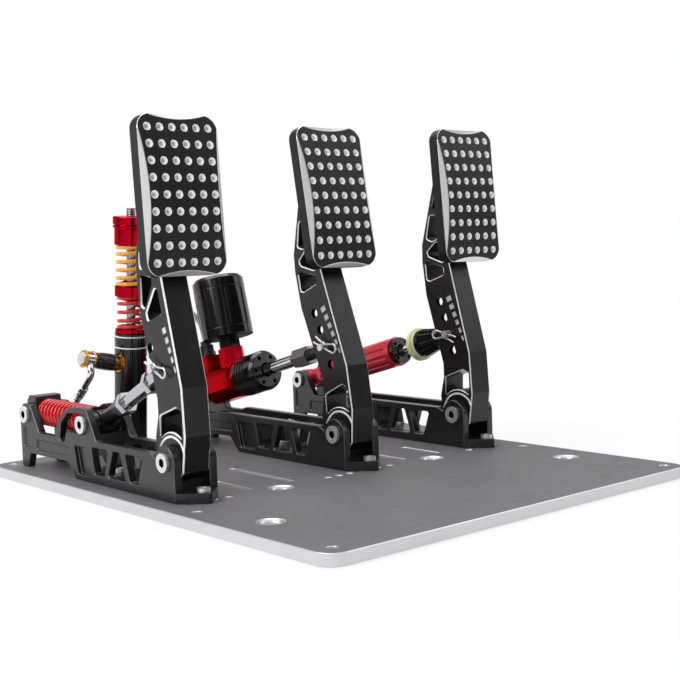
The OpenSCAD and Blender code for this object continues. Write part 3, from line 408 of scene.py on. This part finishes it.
def paint_corners(piece, slot, wanted):
    """Paints the faces whose corners all lie in the wanted place."""
    for face in piece.data.polygons:
        if all(wanted(piece.data.vertices[v].co) for v in face.vertices):
            face.material_index = slot


def stand_for(piece, node):
    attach(piece, BODY_OF[node])
    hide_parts(node)


def settle(piece, node, angle=SMOOTH_DEGREES):
    """Smooths a finished piece and lets it stand for its node."""
    smooth(piece, angle)
    stand_for(piece, node)


def dress(node, width):
    settle(finished_copy(node, [OWN_FINISH.get(node, SLOT_OF[node])], width), node)


def in_arm(pedal, point):
    """A point in millimetres in the frame of an upright pedal arm, pivot at the origin."""
    x, lean = PEDALS[pedal]
    y, z = point.y / MM - PIVOT_Y, point.z / MM - PIVOT_Z
    c, s = math.cos(math.radians(lean)), math.sin(math.radians(lean))
    return Vector((point.x / MM - x, y * c - z * s, y * s + z * c))


# pedal arms; places are (y, z) in millimetres in the arm's own frame

ARM_HOLES = ((12, 97.6), (7.7, 83.6), (3.9, 69.4), (0.6, 55), (17.6, 80.7), (11, 65.5))
ARM_CORNERS = ((19.1, 155.5), (23.4, 132.8), (12.5, 177.8), (5.9, 151.3), (14, 15.6), (-14.5, 15.9))
HOLE_REACH, CORNER_REACH, HUB_REACH = 4.2, 2.5, 20.7
MARK_FOOT, MARK_STEP = Vector((-11.6, 64.8)), Vector((2.55, 6.87))
MARKS, MARK_REACH, MARK_LOWEST = 6, 5.0, 50
RING_INNER, RING_OUTER = 16.5, 18.7
CHAMFER = {"clutch": 1.0, "brake": 0.72, "throttle": 0.72}


def near(p, spots, reach):
    return any(math.hypot(p.y - y, p.z - z) < reach for y, z in spots)


def near_mark(p):
    return any((Vector((p.y, p.z)) - MARK_FOOT - MARK_STEP * k).length < MARK_REACH for k in range(MARKS))


def left_plain(p):
    """At the hub, the marks, the holes, tight corners and the narrow back of the lower window."""
    at_hub = math.hypot(p.y, p.z) < HUB_REACH and (p.y > -11.5 or p.z > 9)
    window_back = p.z < 46 and p.y > 12.9 + max(0.0, (24 - p.z) * 0.3)
    return (at_hub or window_back or near_mark(p) or near(p, ARM_HOLES, HOLE_REACH)
            or near(p, ARM_CORNERS, CORNER_REACH))


def dress_arm(pedal):
    def cut_edge(a, b):
        a, b = in_arm(pedal, a), in_arm(pedal, b)
        on_side = min(abs(a.x), abs(b.x)) > ARM_HALF - 0.03
        return on_side and not (left_plain(a) and left_plain(b))

    def in_mark(centre, normal):
        p = in_arm(pedal, centre)
        return -ARM_HALF + 0.1 < p.x < -ARM_HALF + 0.6 and near_mark(p) and p.z > MARK_LOWEST

    def hub_ring(point):
        p = in_arm(pedal, point)
        return RING_INNER < math.hypot(p.y, p.z) < RING_OUTER and abs(p.x) < ARM_HALF + 0.1

    piece = finished_copy(pedal + "_arm", ["arm_black", "bright_edge", "mark_white"], CHAMFER[pedal],
                          segments=1, slot=1, chosen=cut_edge)
    paint(piece, 2, in_mark)
    paint_corners(piece, 1, hub_ring)
    settle(piece, pedal + "_arm")


# pads, one modelled and copied; back at y = 0, face towards -Y, middle at z = 0

PAD_W, PAD_H, PAD_T, PAD_R, CROWN_R = 66.0, 112.0, 13.0, 11.0, 345.0
SIDE_RISE, SIDE_REACH, END_RISE, END_REACH = 38.0, 4.3, 48.0, 3.4
PAD_BACK_Y, PAD_Z = -12.5, 185.5
DIMPLE_STEP, DIMPLE_RISE, DIMPLE_DEEP = 10.0, 11.75, 1.7
DIMPLE_FLOOR_R, DIMPLE_RIM_R, DIMPLE_SIDES = 1.4, 3.3, 24
SCREW_HEIGHTS, SCREW_R = (163, 188), 2.6


def crown(z):
    return CROWN_R - math.sqrt(CROWN_R ** 2 - z ** 2)


def placed_cone(radius_back, radius_front, back, front, x, z, sides):
    """A cone along -Y from y = back to y = front, in millimetres."""
    bpy.ops.object.select_all(action="DESELECT")
    bpy.ops.mesh.primitive_cone_add(vertices=sides, radius1=radius_back * MM, radius2=radius_front * MM,
                                    depth=(back - front) * MM, rotation=(math.pi / 2, 0, 0),
                                    location=(x * MM, (back + front) / 2 * MM, z * MM))
    apply_placing()
    return bpy.context.object


def cut(piece, tools, finish_name, operation="DIFFERENCE"):
    """Cuts the tools out of a piece; the cut faces take the named finish."""
    bpy.ops.object.select_all(action="DESELECT")
    for tool in tools:
        tool.select_set(True)
    bpy.context.view_layer.objects.active = tools[0]
    if len(tools) > 1:
        bpy.ops.object.join()
    cutter = bpy.context.view_layer.objects.active
    coat(cutter, finish_name)
    step = piece.modifiers.new("cut", "BOOLEAN")
    step.operation, step.solver, step.object, step.material_mode = operation, "EXACT", cutter, "TRANSFER"
    only(piece)
    bpy.ops.object.modifier_apply(modifier="cut")
    bpy.data.meshes.remove(cutter.data)


def model_pad():
    bpy.ops.object.select_all(action="DESELECT")
    bpy.ops.mesh.primitive_cube_add(size=1)
    pad = bpy.context.object
    pad.name = "pad_pattern"
    pad.scale = (PAD_W * MM, (PAD_T + 1) * MM, PAD_H * MM)
    pad.location = (0, -(PAD_T + 1) / 2 * MM, 0)
    apply_placing()
    coat(pad, "pad_black", "cut_aluminium", "dimple_silver", "painted_shade_dimple_floor")
    pick_edges(pad, lambda edge, a, b: abs((a - b).y) > 0.01)
    edit(pad)
    bpy.ops.mesh.bevel(offset=PAD_R * MM, segments=16, affect="EDGES")
    done()
    bpy.ops.object.select_all(action="DESELECT")
    bpy.ops.mesh.primitive_cylinder_add(vertices=540, radius=CROWN_R * MM, depth=0.09,
                                        rotation=(0, math.pi / 2, 0),
                                        location=(0, (CROWN_R - PAD_T) * MM, 0))
    apply_placing()
    cut(pad, [bpy.context.object], "pad_black", "INTERSECT")
    slope = math.radians(SIDE_RISE)
    edit(pad)
    for side in (-1, 1):
        bpy.ops.mesh.select_all(action="SELECT")
        bpy.ops.mesh.bisect(plane_co=(side * (PAD_W / 2 - SIDE_REACH) * MM, -PAD_T * MM, 0),
                            plane_no=(side * math.sin(slope), -math.cos(slope), 0),
                            use_fill=True, clear_outer=True)
    done()
    paint(pad, 1, lambda centre, normal: abs(abs(normal.x) - math.sin(slope)) < 0.02 and abs(normal.z) < 0.02)
    half = PAD_W / 2 - 7
    big = (half ** 2 + END_REACH ** 2) / (2 * END_REACH)
    rise = math.tan(math.radians(END_RISE))
    end_z = PAD_H / 2 - END_REACH + big
    cut(pad, [placed_cone(big - 8 / rise, big + 4 / rise, -1, -13, 0, end * end_z, 360) for end in (-1, 1)],
        "cut_aluminium")

    def outline(a, b):
        on_side = max(a.y, b.y) < -0.0045 and min(abs(a.x), abs(b.x)) > 0.0275
        return on_side or min(abs(a.z), abs(b.z)) > 0.0505

    round_edges(pad, 0.35, 1, sharp=14, slot=1, chosen=outline)
    dimples = []
    for across in range(-5, 6, 2):
        for up in range(-4, 5):
            z = up * DIMPLE_RISE
            face = crown(z) - PAD_T
            dimples.append(placed_cone(DIMPLE_FLOOR_R, DIMPLE_RIM_R, face + DIMPLE_DEEP, face - 0.4,
                                       across * DIMPLE_STEP / 2, z, DIMPLE_SIDES))
    cut(pad, dimples, "dimple_silver")

    def painted_shade_dimple_floor(centre, normal):
        return normal.y < -0.97 and centre.y / MM > crown(centre.z / MM) - PAD_T + DIMPLE_DEEP - 0.5

    # painted shade on the flat floor of each dimple
    paint(pad, 3, painted_shade_dimple_floor)
    cut(pad, [placed_cone(SCREW_R, SCREW_R, 1, -6.5, 0, z - PAD_Z, 24) for z in SCREW_HEIGHTS], "pad_black")
    smooth(pad, 26.0)
    return pad


def fit_pads():
    pattern = model_pad()
    for pedal, (x, lean) in PEDALS.items():
        piece = bpy.data.objects.new(pedal + "_pad_finished", pattern.data.copy())
        scene.collection.objects.link(piece)
        upright = Matrix.Translation((x * MM, PIVOT_Y * MM, PIVOT_Z * MM)) @ Matrix.Rotation(
            math.radians(-lean), 4, "X")
        piece.data.transform(upright @ Matrix.Translation((0, PAD_BACK_Y * MM, PAD_Z * MM)))
        stand_for(piece, pedal + "_pad")
    bpy.data.meshes.remove(pattern.data)


# springs

COIL_SIDES = 36
GROUND_OFF = 0.12
SLAVE = Matrix.Translation((-0.065, 0.1868, 0.0085)) @ Matrix.Rotation(math.radians(4.9), 4, "X")


def coil_heights(length, tall, steps):
    """Heights of the wire's middle: the first and last turn lie closed, the turns between are open."""
    heights = [0.0]
    turns = steps / COIL_SIDES
    open_pitch = (length - 2.3 * tall) / (turns - 2.0)
    closed_pitch = tall * 1.04
    for k in range(steps):
        t = (k + 0.5) / COIL_SIDES
        share = min(max((min(t, turns - t) - 0.8) / 0.4, 0.0), 1.0)
        share = share * share * (3 - 2 * share)
        heights.append(heights[-1] + (closed_pitch + (open_pitch - closed_pitch) * share) / COIL_SIDES)
    return [h * length / heights[-1] for h in heights]


def wind_spring(node, to_world, radius, length, turns, profile, finish_name):
    """Winds one wire into a coil with closed, flat ground ends, standing on +Z of to_world.

    Sizes in millimetres; profile is the wire's width, height and corner.
    """
    wide, tall, corner = profile
    steps = int(COIL_SIDES * turns)
    bpy.ops.object.select_all(action="DESELECT")
    bpy.ops.mesh.primitive_plane_add(size=1)
    piece = bpy.context.object
    piece.name = node + "_wound"
    piece.scale = (wide * MM, tall * MM, 1)
    piece.rotation_euler = (math.pi / 2, 0, 0)
    piece.location = ((radius - wide / 2) * MM, 0, 0)
    apply_placing()
    edit(piece, "VERT")
    bpy.ops.mesh.select_all(action="SELECT")
    bpy.ops.mesh.bevel(offset=corner * MM, segments=3, affect="VERTICES", clamp_overlap=True)
    bpy.ops.mesh.delete(type="ONLY_FACE")
    done()
    ring = len(piece.data.vertices)
    wound = piece.modifiers.new("wound", "SCREW")
    wound.axis = "Z"
    wound.angle = 2 * math.pi * steps / COIL_SIDES
    wound.screw_offset = length * MM
    wound.steps = wound.render_steps = steps
    wound.use_normal_calculate = True
    bpy.ops.object.modifier_apply(modifier="wound")
    heights = coil_heights(length, tall, steps)
    for i, vertex in enumerate(piece.data.vertices):
        vertex.co.z += (heights[i // ring] - length * (i // ring) / steps) * MM
    edit(piece)
    bpy.ops.mesh.select_all(action="SELECT")
    bpy.ops.mesh.fill_holes(sides=0)
    for height, facing in ((GROUND_OFF, -1), (length - GROUND_OFF, 1)):
        bpy.ops.mesh.select_all(action="SELECT")
        bpy.ops.mesh.bisect(plane_co=(0, 0, height * MM), plane_no=(0, 0, facing),
                            use_fill=True, clear_outer=True)
    bpy.ops.mesh.select_all(action="SELECT")
    bpy.ops.mesh.normals_make_consistent(inside=False)
    done()
    piece.data.transform(to_world)
    coat(piece, finish_name)
    smooth(piece, 45.0)
    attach(piece, "base")
    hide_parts(node)
    return piece


def lift(distance):
    return Matrix.Translation((0, 0, distance * MM))


def wind_springs():
    """Winds the clutch spring and the spring unit's two springs, each fixed to the base."""
    start, stop, stroke = 128.0, 203.4, 22.86
    x, z = -0.1456, 0.0528
    lay = Matrix.Translation((x, (PIVOT_Y + start) * MM, z)) @ Matrix.Rotation(-math.pi / 2, 4, "X")
    spring = wind_spring("clutch_spring", lay, 11.5, stop - start, 14, (3.2, 3.2, 1.45), "red_spring")
    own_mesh(spring)
    lower = wind_spring("slave_lower_spring", SLAVE @ lift(109.6), 12.2, 28.4, 4.9, (3.4, 3.2, 1.1),
                        "red_spring")
    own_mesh(lower)
    upper = wind_spring("slave_upper_spring", SLAVE @ lift(147), 13.2, 35.5, 6.1, (3.8, 3.3, 1.1),
                        "yellow_spring")
    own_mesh(upper)


# hose, its pipe end and the joint on the spring unit, in millimetres

HOSE_D = 5.6
EYE, ELBOW = Vector((-110.381, 174.642, 94.475)), Vector((-111.578, 165.819, 83.285))
PIPE_WAY = Vector((-0.05008, 0.72108, -0.69104))
PORT, PORT_WAY = Vector((-65.0, 180.223, 85.219)), Vector((-0.97279, -0.11963, 0.19842))
HOSE_ROUTE = [
    (-113.135, 188.244, 61.794), (-113.381, 191.778, 58.408), (-114.2, 199, 52.1), (-114.3, 207.1, 41.4),
    (-110.9, 212.3, 30.1), (-102.9, 215.3, 20.6), (-91.6, 216.3, 14.7), (-78.7, 216.3, 13.5),
    (-64.7, 216.3, 14.8), (-52.5, 216.3, 21), (-43.5, 216.3, 31.4), (-39, 216.3, 44.3),
    (-38.3, 216.3, 58.2), (-38.5, 216.3, 72), (-38.8, 216.3, 85.9), (-37.9, 216.3, 99.8),
    (-33.7, 215.4, 112.7), (-25.8, 211.8, 123.3), (-15.7, 205.6, 130), (-5, 197.4, 131.4),
    (4.3, 188.7, 127.1), (10.1, 181.5, 117.9), (11.6, 177.07, 105.1), (11.6, 175.33, 98.53)]
# the pipe's distance from its elbow and its radius there, and the grooves between those distances, which take
# painted shade
PIPE_R, PIPE_BEND = 3.1, 7
PIPE_STEPS = (
    (7, 3.1), (12, 3.1), (18.3, 3.1), (18.5, 3.9), (19, 4.2), (21.6, 4.2), (21.8, 3.7), (22.7, 3.7),
    (22.9, 4.2), (25.4, 4.2), (25.6, 3.7), (26.5, 3.7), (26.7, 4.2), (30.6, 4.2), (31, 3.9),
    (31.1, 3.35), (33.6, 3.35), (33.8, 3.05), (34.8, 3.05), (35, 3.35), (38.6, 3.35), (39, 3.0))
PIPE_SHADED_GROOVES = ((21.7, 22.8), (25.5, 26.6), (33.7, 34.9))
# the adapter's radius and its distance from the spring unit's middle
ADAPTER_STEPS = (
    (6.1, 13.4), (6.5, 13.8), (6.5, 15.6), (6.9, 16.2), (7.3, 18.5), (7.45, 22), (7.5, 26), (7.45, 30),
    (7.3, 34), (6.9, 37.2), (6.5, 38.2), (6.3, 39.2), (6.7, 39.8), (6.7, 41.7), (6.3, 42.1))
ADAPTER_GOLD_TO = 22.5


def along_route(points, steps):
    rows = [Vector(p) for p in points]
    path = []
    for i in range(len(rows) - 1):
        a, b, c, d = rows[max(0, i - 1)], rows[i], rows[i + 1], rows[min(len(rows) - 1, i + 2)]
        for k in range(steps):
            t = k / steps
            path.append(0.5 * (2 * b + (c - a) * t + (2 * a - 5 * b + 4 * c - d) * t * t
                               + (3 * b - a - 3 * c + d) * t ** 3))
    return path + [rows[-1]]


def tube(name, path, radii, sides, finish_name):
    """A closed tube along a path in millimetres.

    Its own UV map runs once round it in X, and by one for each four diameters along it in Y.
    """
    points, faces, travelled = [], [], [0.0]
    across = Vector((1, 0, 0))
    for i, p in enumerate(path):
        ahead = (path[min(i + 1, len(path) - 1)] - path[max(i - 1, 0)]).normalized()
        across = (across - ahead * across.dot(ahead)).normalized()
        other = ahead.cross(across)
        for k in range(sides):
            turn = 2 * math.pi * k / sides
            points.append((p + radii[i] * (across * math.cos(turn) + other * math.sin(turn))) * MM)
        if i:
            travelled.append(travelled[-1] + (p - path[i - 1]).length)
    for i in range(len(path) - 1):
        for k in range(sides):
            a, b = i * sides + k, i * sides + (k + 1) % sides
            faces.append((a, b, b + sides, a + sides))
    last = (len(path) - 1) * sides
    faces += [tuple(reversed(range(sides))), tuple(range(last, last + sides))]
    mesh = bpy.data.meshes.new(name)
    mesh.from_pydata(points, [], faces)
    uv = mesh.uv_layers.new(name="round_and_along")
    for face in mesh.polygons:
        for loop, vertex in zip(face.loop_indices, face.vertices):
            k = vertex % sides
            turn = 1.0 if k == 0 and max(v % sides for v in face.vertices) == sides - 1 else k / sides
            uv.data[loop].uv = (turn, travelled[vertex // sides] / (2 * max(radii)) / 4)
    piece = bpy.data.objects.new(name, mesh)
    scene.collection.objects.link(piece)
    coat(piece, finish_name)
    smooth(piece, 50.0)
    return piece


def lay_hose():
    path = along_route(HOSE_ROUTE, 6)
    hose = tube("hose_braided", path, [HOSE_D / 2] * len(path), 20, "hose_braid")
    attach(hose, "base")
    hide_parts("hose")


def on_port(distance):
    """Stands +Z on the joint's axis, that far from the spring unit's middle."""
    facing = PORT_WAY.to_track_quat("Z", "Y").to_matrix().to_4x4()
    return Matrix.Translation((PORT + PORT_WAY * distance) * MM) @ facing


def bend_pipe():
    inward = (EYE - ELBOW).normalized()
    path = [ELBOW + inward * t for t in (10.5, 9.0, 7.5)]
    start, stop = ELBOW + inward * PIPE_BEND, ELBOW + PIPE_WAY * PIPE_BEND
    for k in range(1, 12):
        t = k / 12
        path.append(start * (1 - t) ** 2 + ELBOW * 2 * t * (1 - t) + stop * t * t)
    radii = [PIPE_R] * len(path)
    for distance, radius in PIPE_STEPS:
        path.append(ELBOW + PIPE_WAY * distance)
        radii.append(radius)
    pipe = tube("banjo_eye_and_pipe", path, radii, 28, "chrome_rod")
    # painted shade: the grooves between the ribs take the dark steel finish
    coat(pipe, "dark_steel")
    for low, high in PIPE_SHADED_GROOVES:
        paint(pipe, 1, lambda centre, normal: low < (centre / MM - ELBOW).dot(PIPE_WAY) < high)
    bpy.ops.object.select_all(action="DESELECT")
    bpy.ops.mesh.primitive_cylinder_add(vertices=48, radius=7.1 * MM, depth=6.7 * MM, end_fill_type="NOTHING")
    eye = bpy.context.object
    wall = eye.modifiers.new("wall", "SOLIDIFY")
    wall.thickness, wall.offset = 4.0 * MM, -1
    bpy.ops.object.modifier_apply(modifier="wall")
    round_edges(eye, 0.5, 3)
    eye.data.transform(on_port(46.65))
    coat(eye, "chrome_rod")
    smooth(eye)
    only(pipe)
    eye.select_set(True)
    bpy.ops.object.join()
    stand_for(pipe, "banjo_eye")


def turned(name, steps, sides):
    """A turned solid on +Z, drawn up ring by ring; steps are (radius, height) in millimetres."""
    bpy.ops.object.select_all(action="DESELECT")
    bpy.ops.mesh.primitive_circle_add(vertices=sides, radius=steps[0][0] * MM, fill_type="NGON",
                                      location=(0, 0, steps[0][1] * MM))
    apply_placing()
    piece = bpy.context.object
    piece.name = name
    edit(piece, "FACE")
    bpy.ops.mesh.select_all(action="SELECT")
    for (r, z), (wider, higher) in zip(steps, steps[1:]):
        bpy.ops.mesh.extrude_region_move(TRANSFORM_OT_translate={"value": (0, 0, (higher - z) * MM)})
        bpy.ops.transform.resize(value=(wider / r, wider / r, 1))
    bpy.ops.mesh.select_all(action="SELECT")
    bpy.ops.mesh.normals_make_consistent(inside=False)
    done()
    return piece


def turn_adapter():
    piece = turned("banjo_adapter_turned", ADAPTER_STEPS, 48)
    piece.data.transform(on_port(0))
    coat(piece, "dark_steel", "gold_washer")
    paint(piece, 1, lambda centre, normal: (centre / MM - PORT).dot(PORT_WAY) < ADAPTER_GOLD_TO)
    settle(piece, "banjo_adapter", 30.0)


# pieces with more than one finish, or edges of their own

SOCKET_R = 3.5
GROOVE_R, GROOVE_W, GROOVES = 13.2, 1.2, (92.9, 102.5)
FORK_BLACK_REACH = 0.0285


def dress_plate():
    piece = finished_copy("base_plate", ["plate_grey", "plate_edge"], 0.5, 1, 1)
    paint(piece, 1, lambda centre, normal: abs(normal.z) < 0.9)
    settle(piece, "base_plate")


def dress_reservoir():
    piece = finished_copy("reservoir", ["black_gloss", "painted_shade_black"], 0.35)
    # painted shade: the faces that look down take the near-black shade finish
    paint(piece, 1, lambda centre, normal: normal.z < -0.8)
    settle(piece, "reservoir")


def dress_cylinder():
    """Left with its edges as they are, because every bevel turns faces over here."""
    piece = take_copy("cylinder_body")
    coat(piece, "red_metal")
    settle(piece, "cylinder_body", 30.0)


def dress_slave_body():
    piece = finished_copy("slave_body", ["black_gloss", "bright_edge"], 0.4)
    back = SLAVE.inverted()

    def in_groove(centre, normal):
        p = back @ centre / MM
        return math.hypot(p.x, p.y) > GROOVE_R and any(low < p.z < low + GROOVE_W for low in GROOVES)

    paint(piece, 1, in_groove)
    settle(piece, "slave_body")


def dress_wall(node):
    # the walls' chamfers take the lighter black as a painted highlight
    settle(finished_copy(node, ["black_satin", "painted_highlight_black"], 0.55, 1, 1), node)


def middle_of(node):
    low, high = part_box(node)
    return (Vector(low) + Vector(high)) / 2


def dress_bolts(node):
    """Bolts across the rails, with painted shade in the hexagon socket of each head."""
    middle = middle_of(node)
    piece = finished_copy(node, [SLOT_OF[node], "painted_shade_black"], EDGE_WIDTH[node])
    # painted shade: the socket's walls and floor take the near-black shade finish
    paint_corners(piece, 1, lambda p: math.hypot(p.y - middle.y, p.z - middle.z) < SOCKET_R * MM)
    settle(piece, node)


def dress_brake_fork():
    pin = middle_of("brake_clevis_pin")
    piece = finished_copy("brake_rod_fork", ["rod_steel", "black_satin"], 0.4)
    paint(piece, 1, lambda centre, normal: math.hypot(centre.y - pin.y, centre.z - pin.z) < FORK_BLACK_REACH)
    settle(piece, "brake_rod_fork")


# stage

WHITE = (1, 1, 1, 1)
SOFT_LEVEL, DARK = 0.40, 0.12
TO_LEFT, TO_AHEAD = (-0.757, 0.653, 0), (0.653, 0.757, 0)
# what shiny pieces mirror, by heading: one full turn from 0 to 1, with dead ahead at 0.5
MIRRORED = ((0.0, 1.0), (0.03, 1.0), (0.06, DARK), (0.29, DARK), (0.36, 1.0), (0.728, 1.0), (0.768, DARK),
            (0.915, DARK), (0.935, 1.0), (1.0, 1.0))
# name, place in metres, size in metres and power in watts
LAMPS = (("left_softbox", (-1.6, 0.1, 1.2), 1.3, 24), ("right_fill", (1.4, -0.9, 1.1), 1.2, 7),
         ("top_softbox", (0.2, 0.7, 1.9), 1.5, 22))
LAMPS_AIM = Vector((0, 0, 0.1))
FLOOR_SIZE, FLOOR_Z = 14, -0.0003


def light_world():
    world = bpy.data.worlds.new("studio")
    scene.world = world
    world.use_nodes = True
    tree = world.node_tree
    soft = tree.nodes["Background"]
    soft.inputs["Strength"].default_value = SOFT_LEVEL
    white = put(tree, "ShaderNodeBackground")
    mirrored = put(tree, "ShaderNodeBackground")
    for light in (soft, white, mirrored):
        light.inputs["Color"].default_value = WHITE
    heading = put(tree, "ShaderNodeTexCoord").outputs["Generated"]
    sides = []
    for way in (TO_LEFT, TO_AHEAD):
        side = put(tree, "ShaderNodeVectorMath", operation="DOT_PRODUCT")
        side.inputs[1].default_value = way
        tree.links.new(heading, side.inputs[0])
        sides.append(side.outputs["Value"])
    turn = spread(tree, calc(tree, "ARCTAN2", *sides), 0.0, 1.0, -math.pi, math.pi)
    ramp = put(tree, "ShaderNodeValToRGB")
    stops = ramp.color_ramp.elements
    for place, _ in MIRRORED[1:-1]:
        stops.new(place)
    for stop, (place, level) in zip(stops, MIRRORED):
        stop.position, stop.color = place, (level, level, level, 1)
    tree.links.new(turn, ramp.inputs[0])
    split = put(tree, "ShaderNodeSeparateXYZ")
    tree.links.new(heading, split.inputs[0])
    ceiling = spread(tree, split.outputs["Z"], 0.0, 0.9, 0.55, 0.8)
    fade = spread(tree, split.outputs["Z"], 1.0, 0.3, 0.18, 0.4)
    around = calc(tree, "MULTIPLY", ramp.outputs["Color"], fade)
    tree.links.new(calc(tree, "MAXIMUM", around, ceiling), mirrored.inputs["Strength"])
    ray = put(tree, "ShaderNodeLightPath").outputs
    mirror_rays = calc(tree, "MAXIMUM", ray["Is Glossy Ray"], ray["Is Transmission Ray"])
    below = soft.outputs[0]
    for light, seen_by in ((mirrored, mirror_rays), (white, ray["Is Camera Ray"])):
        mix = put(tree, "ShaderNodeMixShader")
        tree.links.new(seen_by, mix.inputs[0])
        tree.links.new(below, mix.inputs[1])
        tree.links.new(light.outputs[0], mix.inputs[2])
        below = mix.outputs[0]
    tree.links.new(below, tree.nodes["World Output"].inputs["Surface"])


def hang_lamps():
    for name, place, size, power in LAMPS:
        lamp = bpy.data.lights.new(name, "AREA")
        lamp.size, lamp.energy = size, power
        holder = bpy.data.objects.new(name, lamp)
        scene.collection.objects.link(holder)
        holder.location = place
        holder.rotation_euler = (LAMPS_AIM - Vector(place)).to_track_quat("-Z", "Y").to_euler()


def lay_floor():
    """A pale floor that takes shadows near the part and turns plain white further out."""
    bpy.ops.object.select_all(action="DESELECT")
    bpy.ops.mesh.primitive_plane_add(size=FLOOR_SIZE, location=(0, 0, FLOOR_Z))
    apply_placing()
    floor = bpy.context.object
    floor.name = "pale_floor"
    pale = bpy.data.materials.new("pale_floor")
    pale.use_nodes = True
    tree = pale.node_tree
    shader = tree.nodes["Principled BSDF"]
    shader.inputs["Base Color"].default_value = (0.86, 0.86, 0.86, 1)
    shader.inputs["Roughness"].default_value = 0.9
    shader.inputs["Specular IOR Level"].default_value = 0.1
    glow = put(tree, "ShaderNodeEmission")
    mix = put(tree, "ShaderNodeMixShader")
    reach = put(tree, "ShaderNodeVectorMath", operation="LENGTH")
    tree.links.new(put(tree, "ShaderNodeTexCoord").outputs["Object"], reach.inputs[0])
    away = spread(tree, reach.outputs["Value"], 0.72, 1.0, 0.26, 0.55)
    ray = put(tree, "ShaderNodeLightPath").outputs
    seen = calc(tree, "MAXIMUM", calc(tree, "MAXIMUM", ray["Is Camera Ray"], ray["Is Glossy Ray"]),
                ray["Is Transmission Ray"])
    tree.links.new(calc(tree, "MULTIPLY", seen, away), mix.inputs[0])
    tree.links.new(shader.outputs[0], mix.inputs[1])
    tree.links.new(glow.outputs[0], mix.inputs[2])
    tree.links.new(mix.outputs[0], tree.nodes["Material Output"].inputs["Surface"])
    floor.data.materials.append(pale)


# the whole part; edge widths in millimetres

PLAIN_EDGE = 0.4
EDGE_WIDTH = {"rail_bolts": 0.25, "pivot_bolts": 0.3, "rear_bolts": 0.3, "clutch_cam_pin": 0.3,
              "pivot_bushes": 0.15, "damper_knob": 0.3, "damper_body": 0.25, "bumper_ring": 0.6,
              "banjo_washers": 0.2}
OWN_FINISH = {"slave_rod": "rod_steel", "damper_body": "damper_red", "clutch_rod_tube": "rod_bright",
              "clutch_rod_nuts": "rod_bright", "clutch_rod_fork": "rod_bright"}
AS_MADE = {"clutch_clip", "brake_clip", "throttle_clip"}
SOCKET_BOLTS = ("pivot_bolts", "rear_bolts", "clutch_cam_pin")
WALLS = sorted(p + side for p in PEDALS for side in ("_left_wall", "_right_wall"))
MADE = {"base_plate", "clutch_spring", "slave_lower_spring", "slave_upper_spring", "hose", "banjo_eye",
        "banjo_adapter", "reservoir", "brake_rod_fork", "cylinder_body", "slave_body", *SOCKET_BOLTS, *WALLS}
MADE |= {p + part for p in PEDALS for part in ("_arm", "_pad")}

place_camera()
lay_hose()
light_world()
hang_lamps()
lay_floor()
dress_plate()
for pedal in PEDALS:
    dress_arm(pedal)
fit_pads()
wind_springs()
bend_pipe()
turn_adapter()
dress_reservoir()
dress_brake_fork()
dress_cylinder()
dress_slave_body()
for node in SOCKET_BOLTS:
    dress_bolts(node)
for node in WALLS:
    dress_wall(node)
for node in BODY_OF:
    if node in AS_MADE:
        frame["nodes"][node].data.materials.clear()
        coat(frame["nodes"][node], SLOT_OF[node])
    elif node not in MADE:
        dress(node, EDGE_WIDTH.get(node, PLAIN_EDGE))
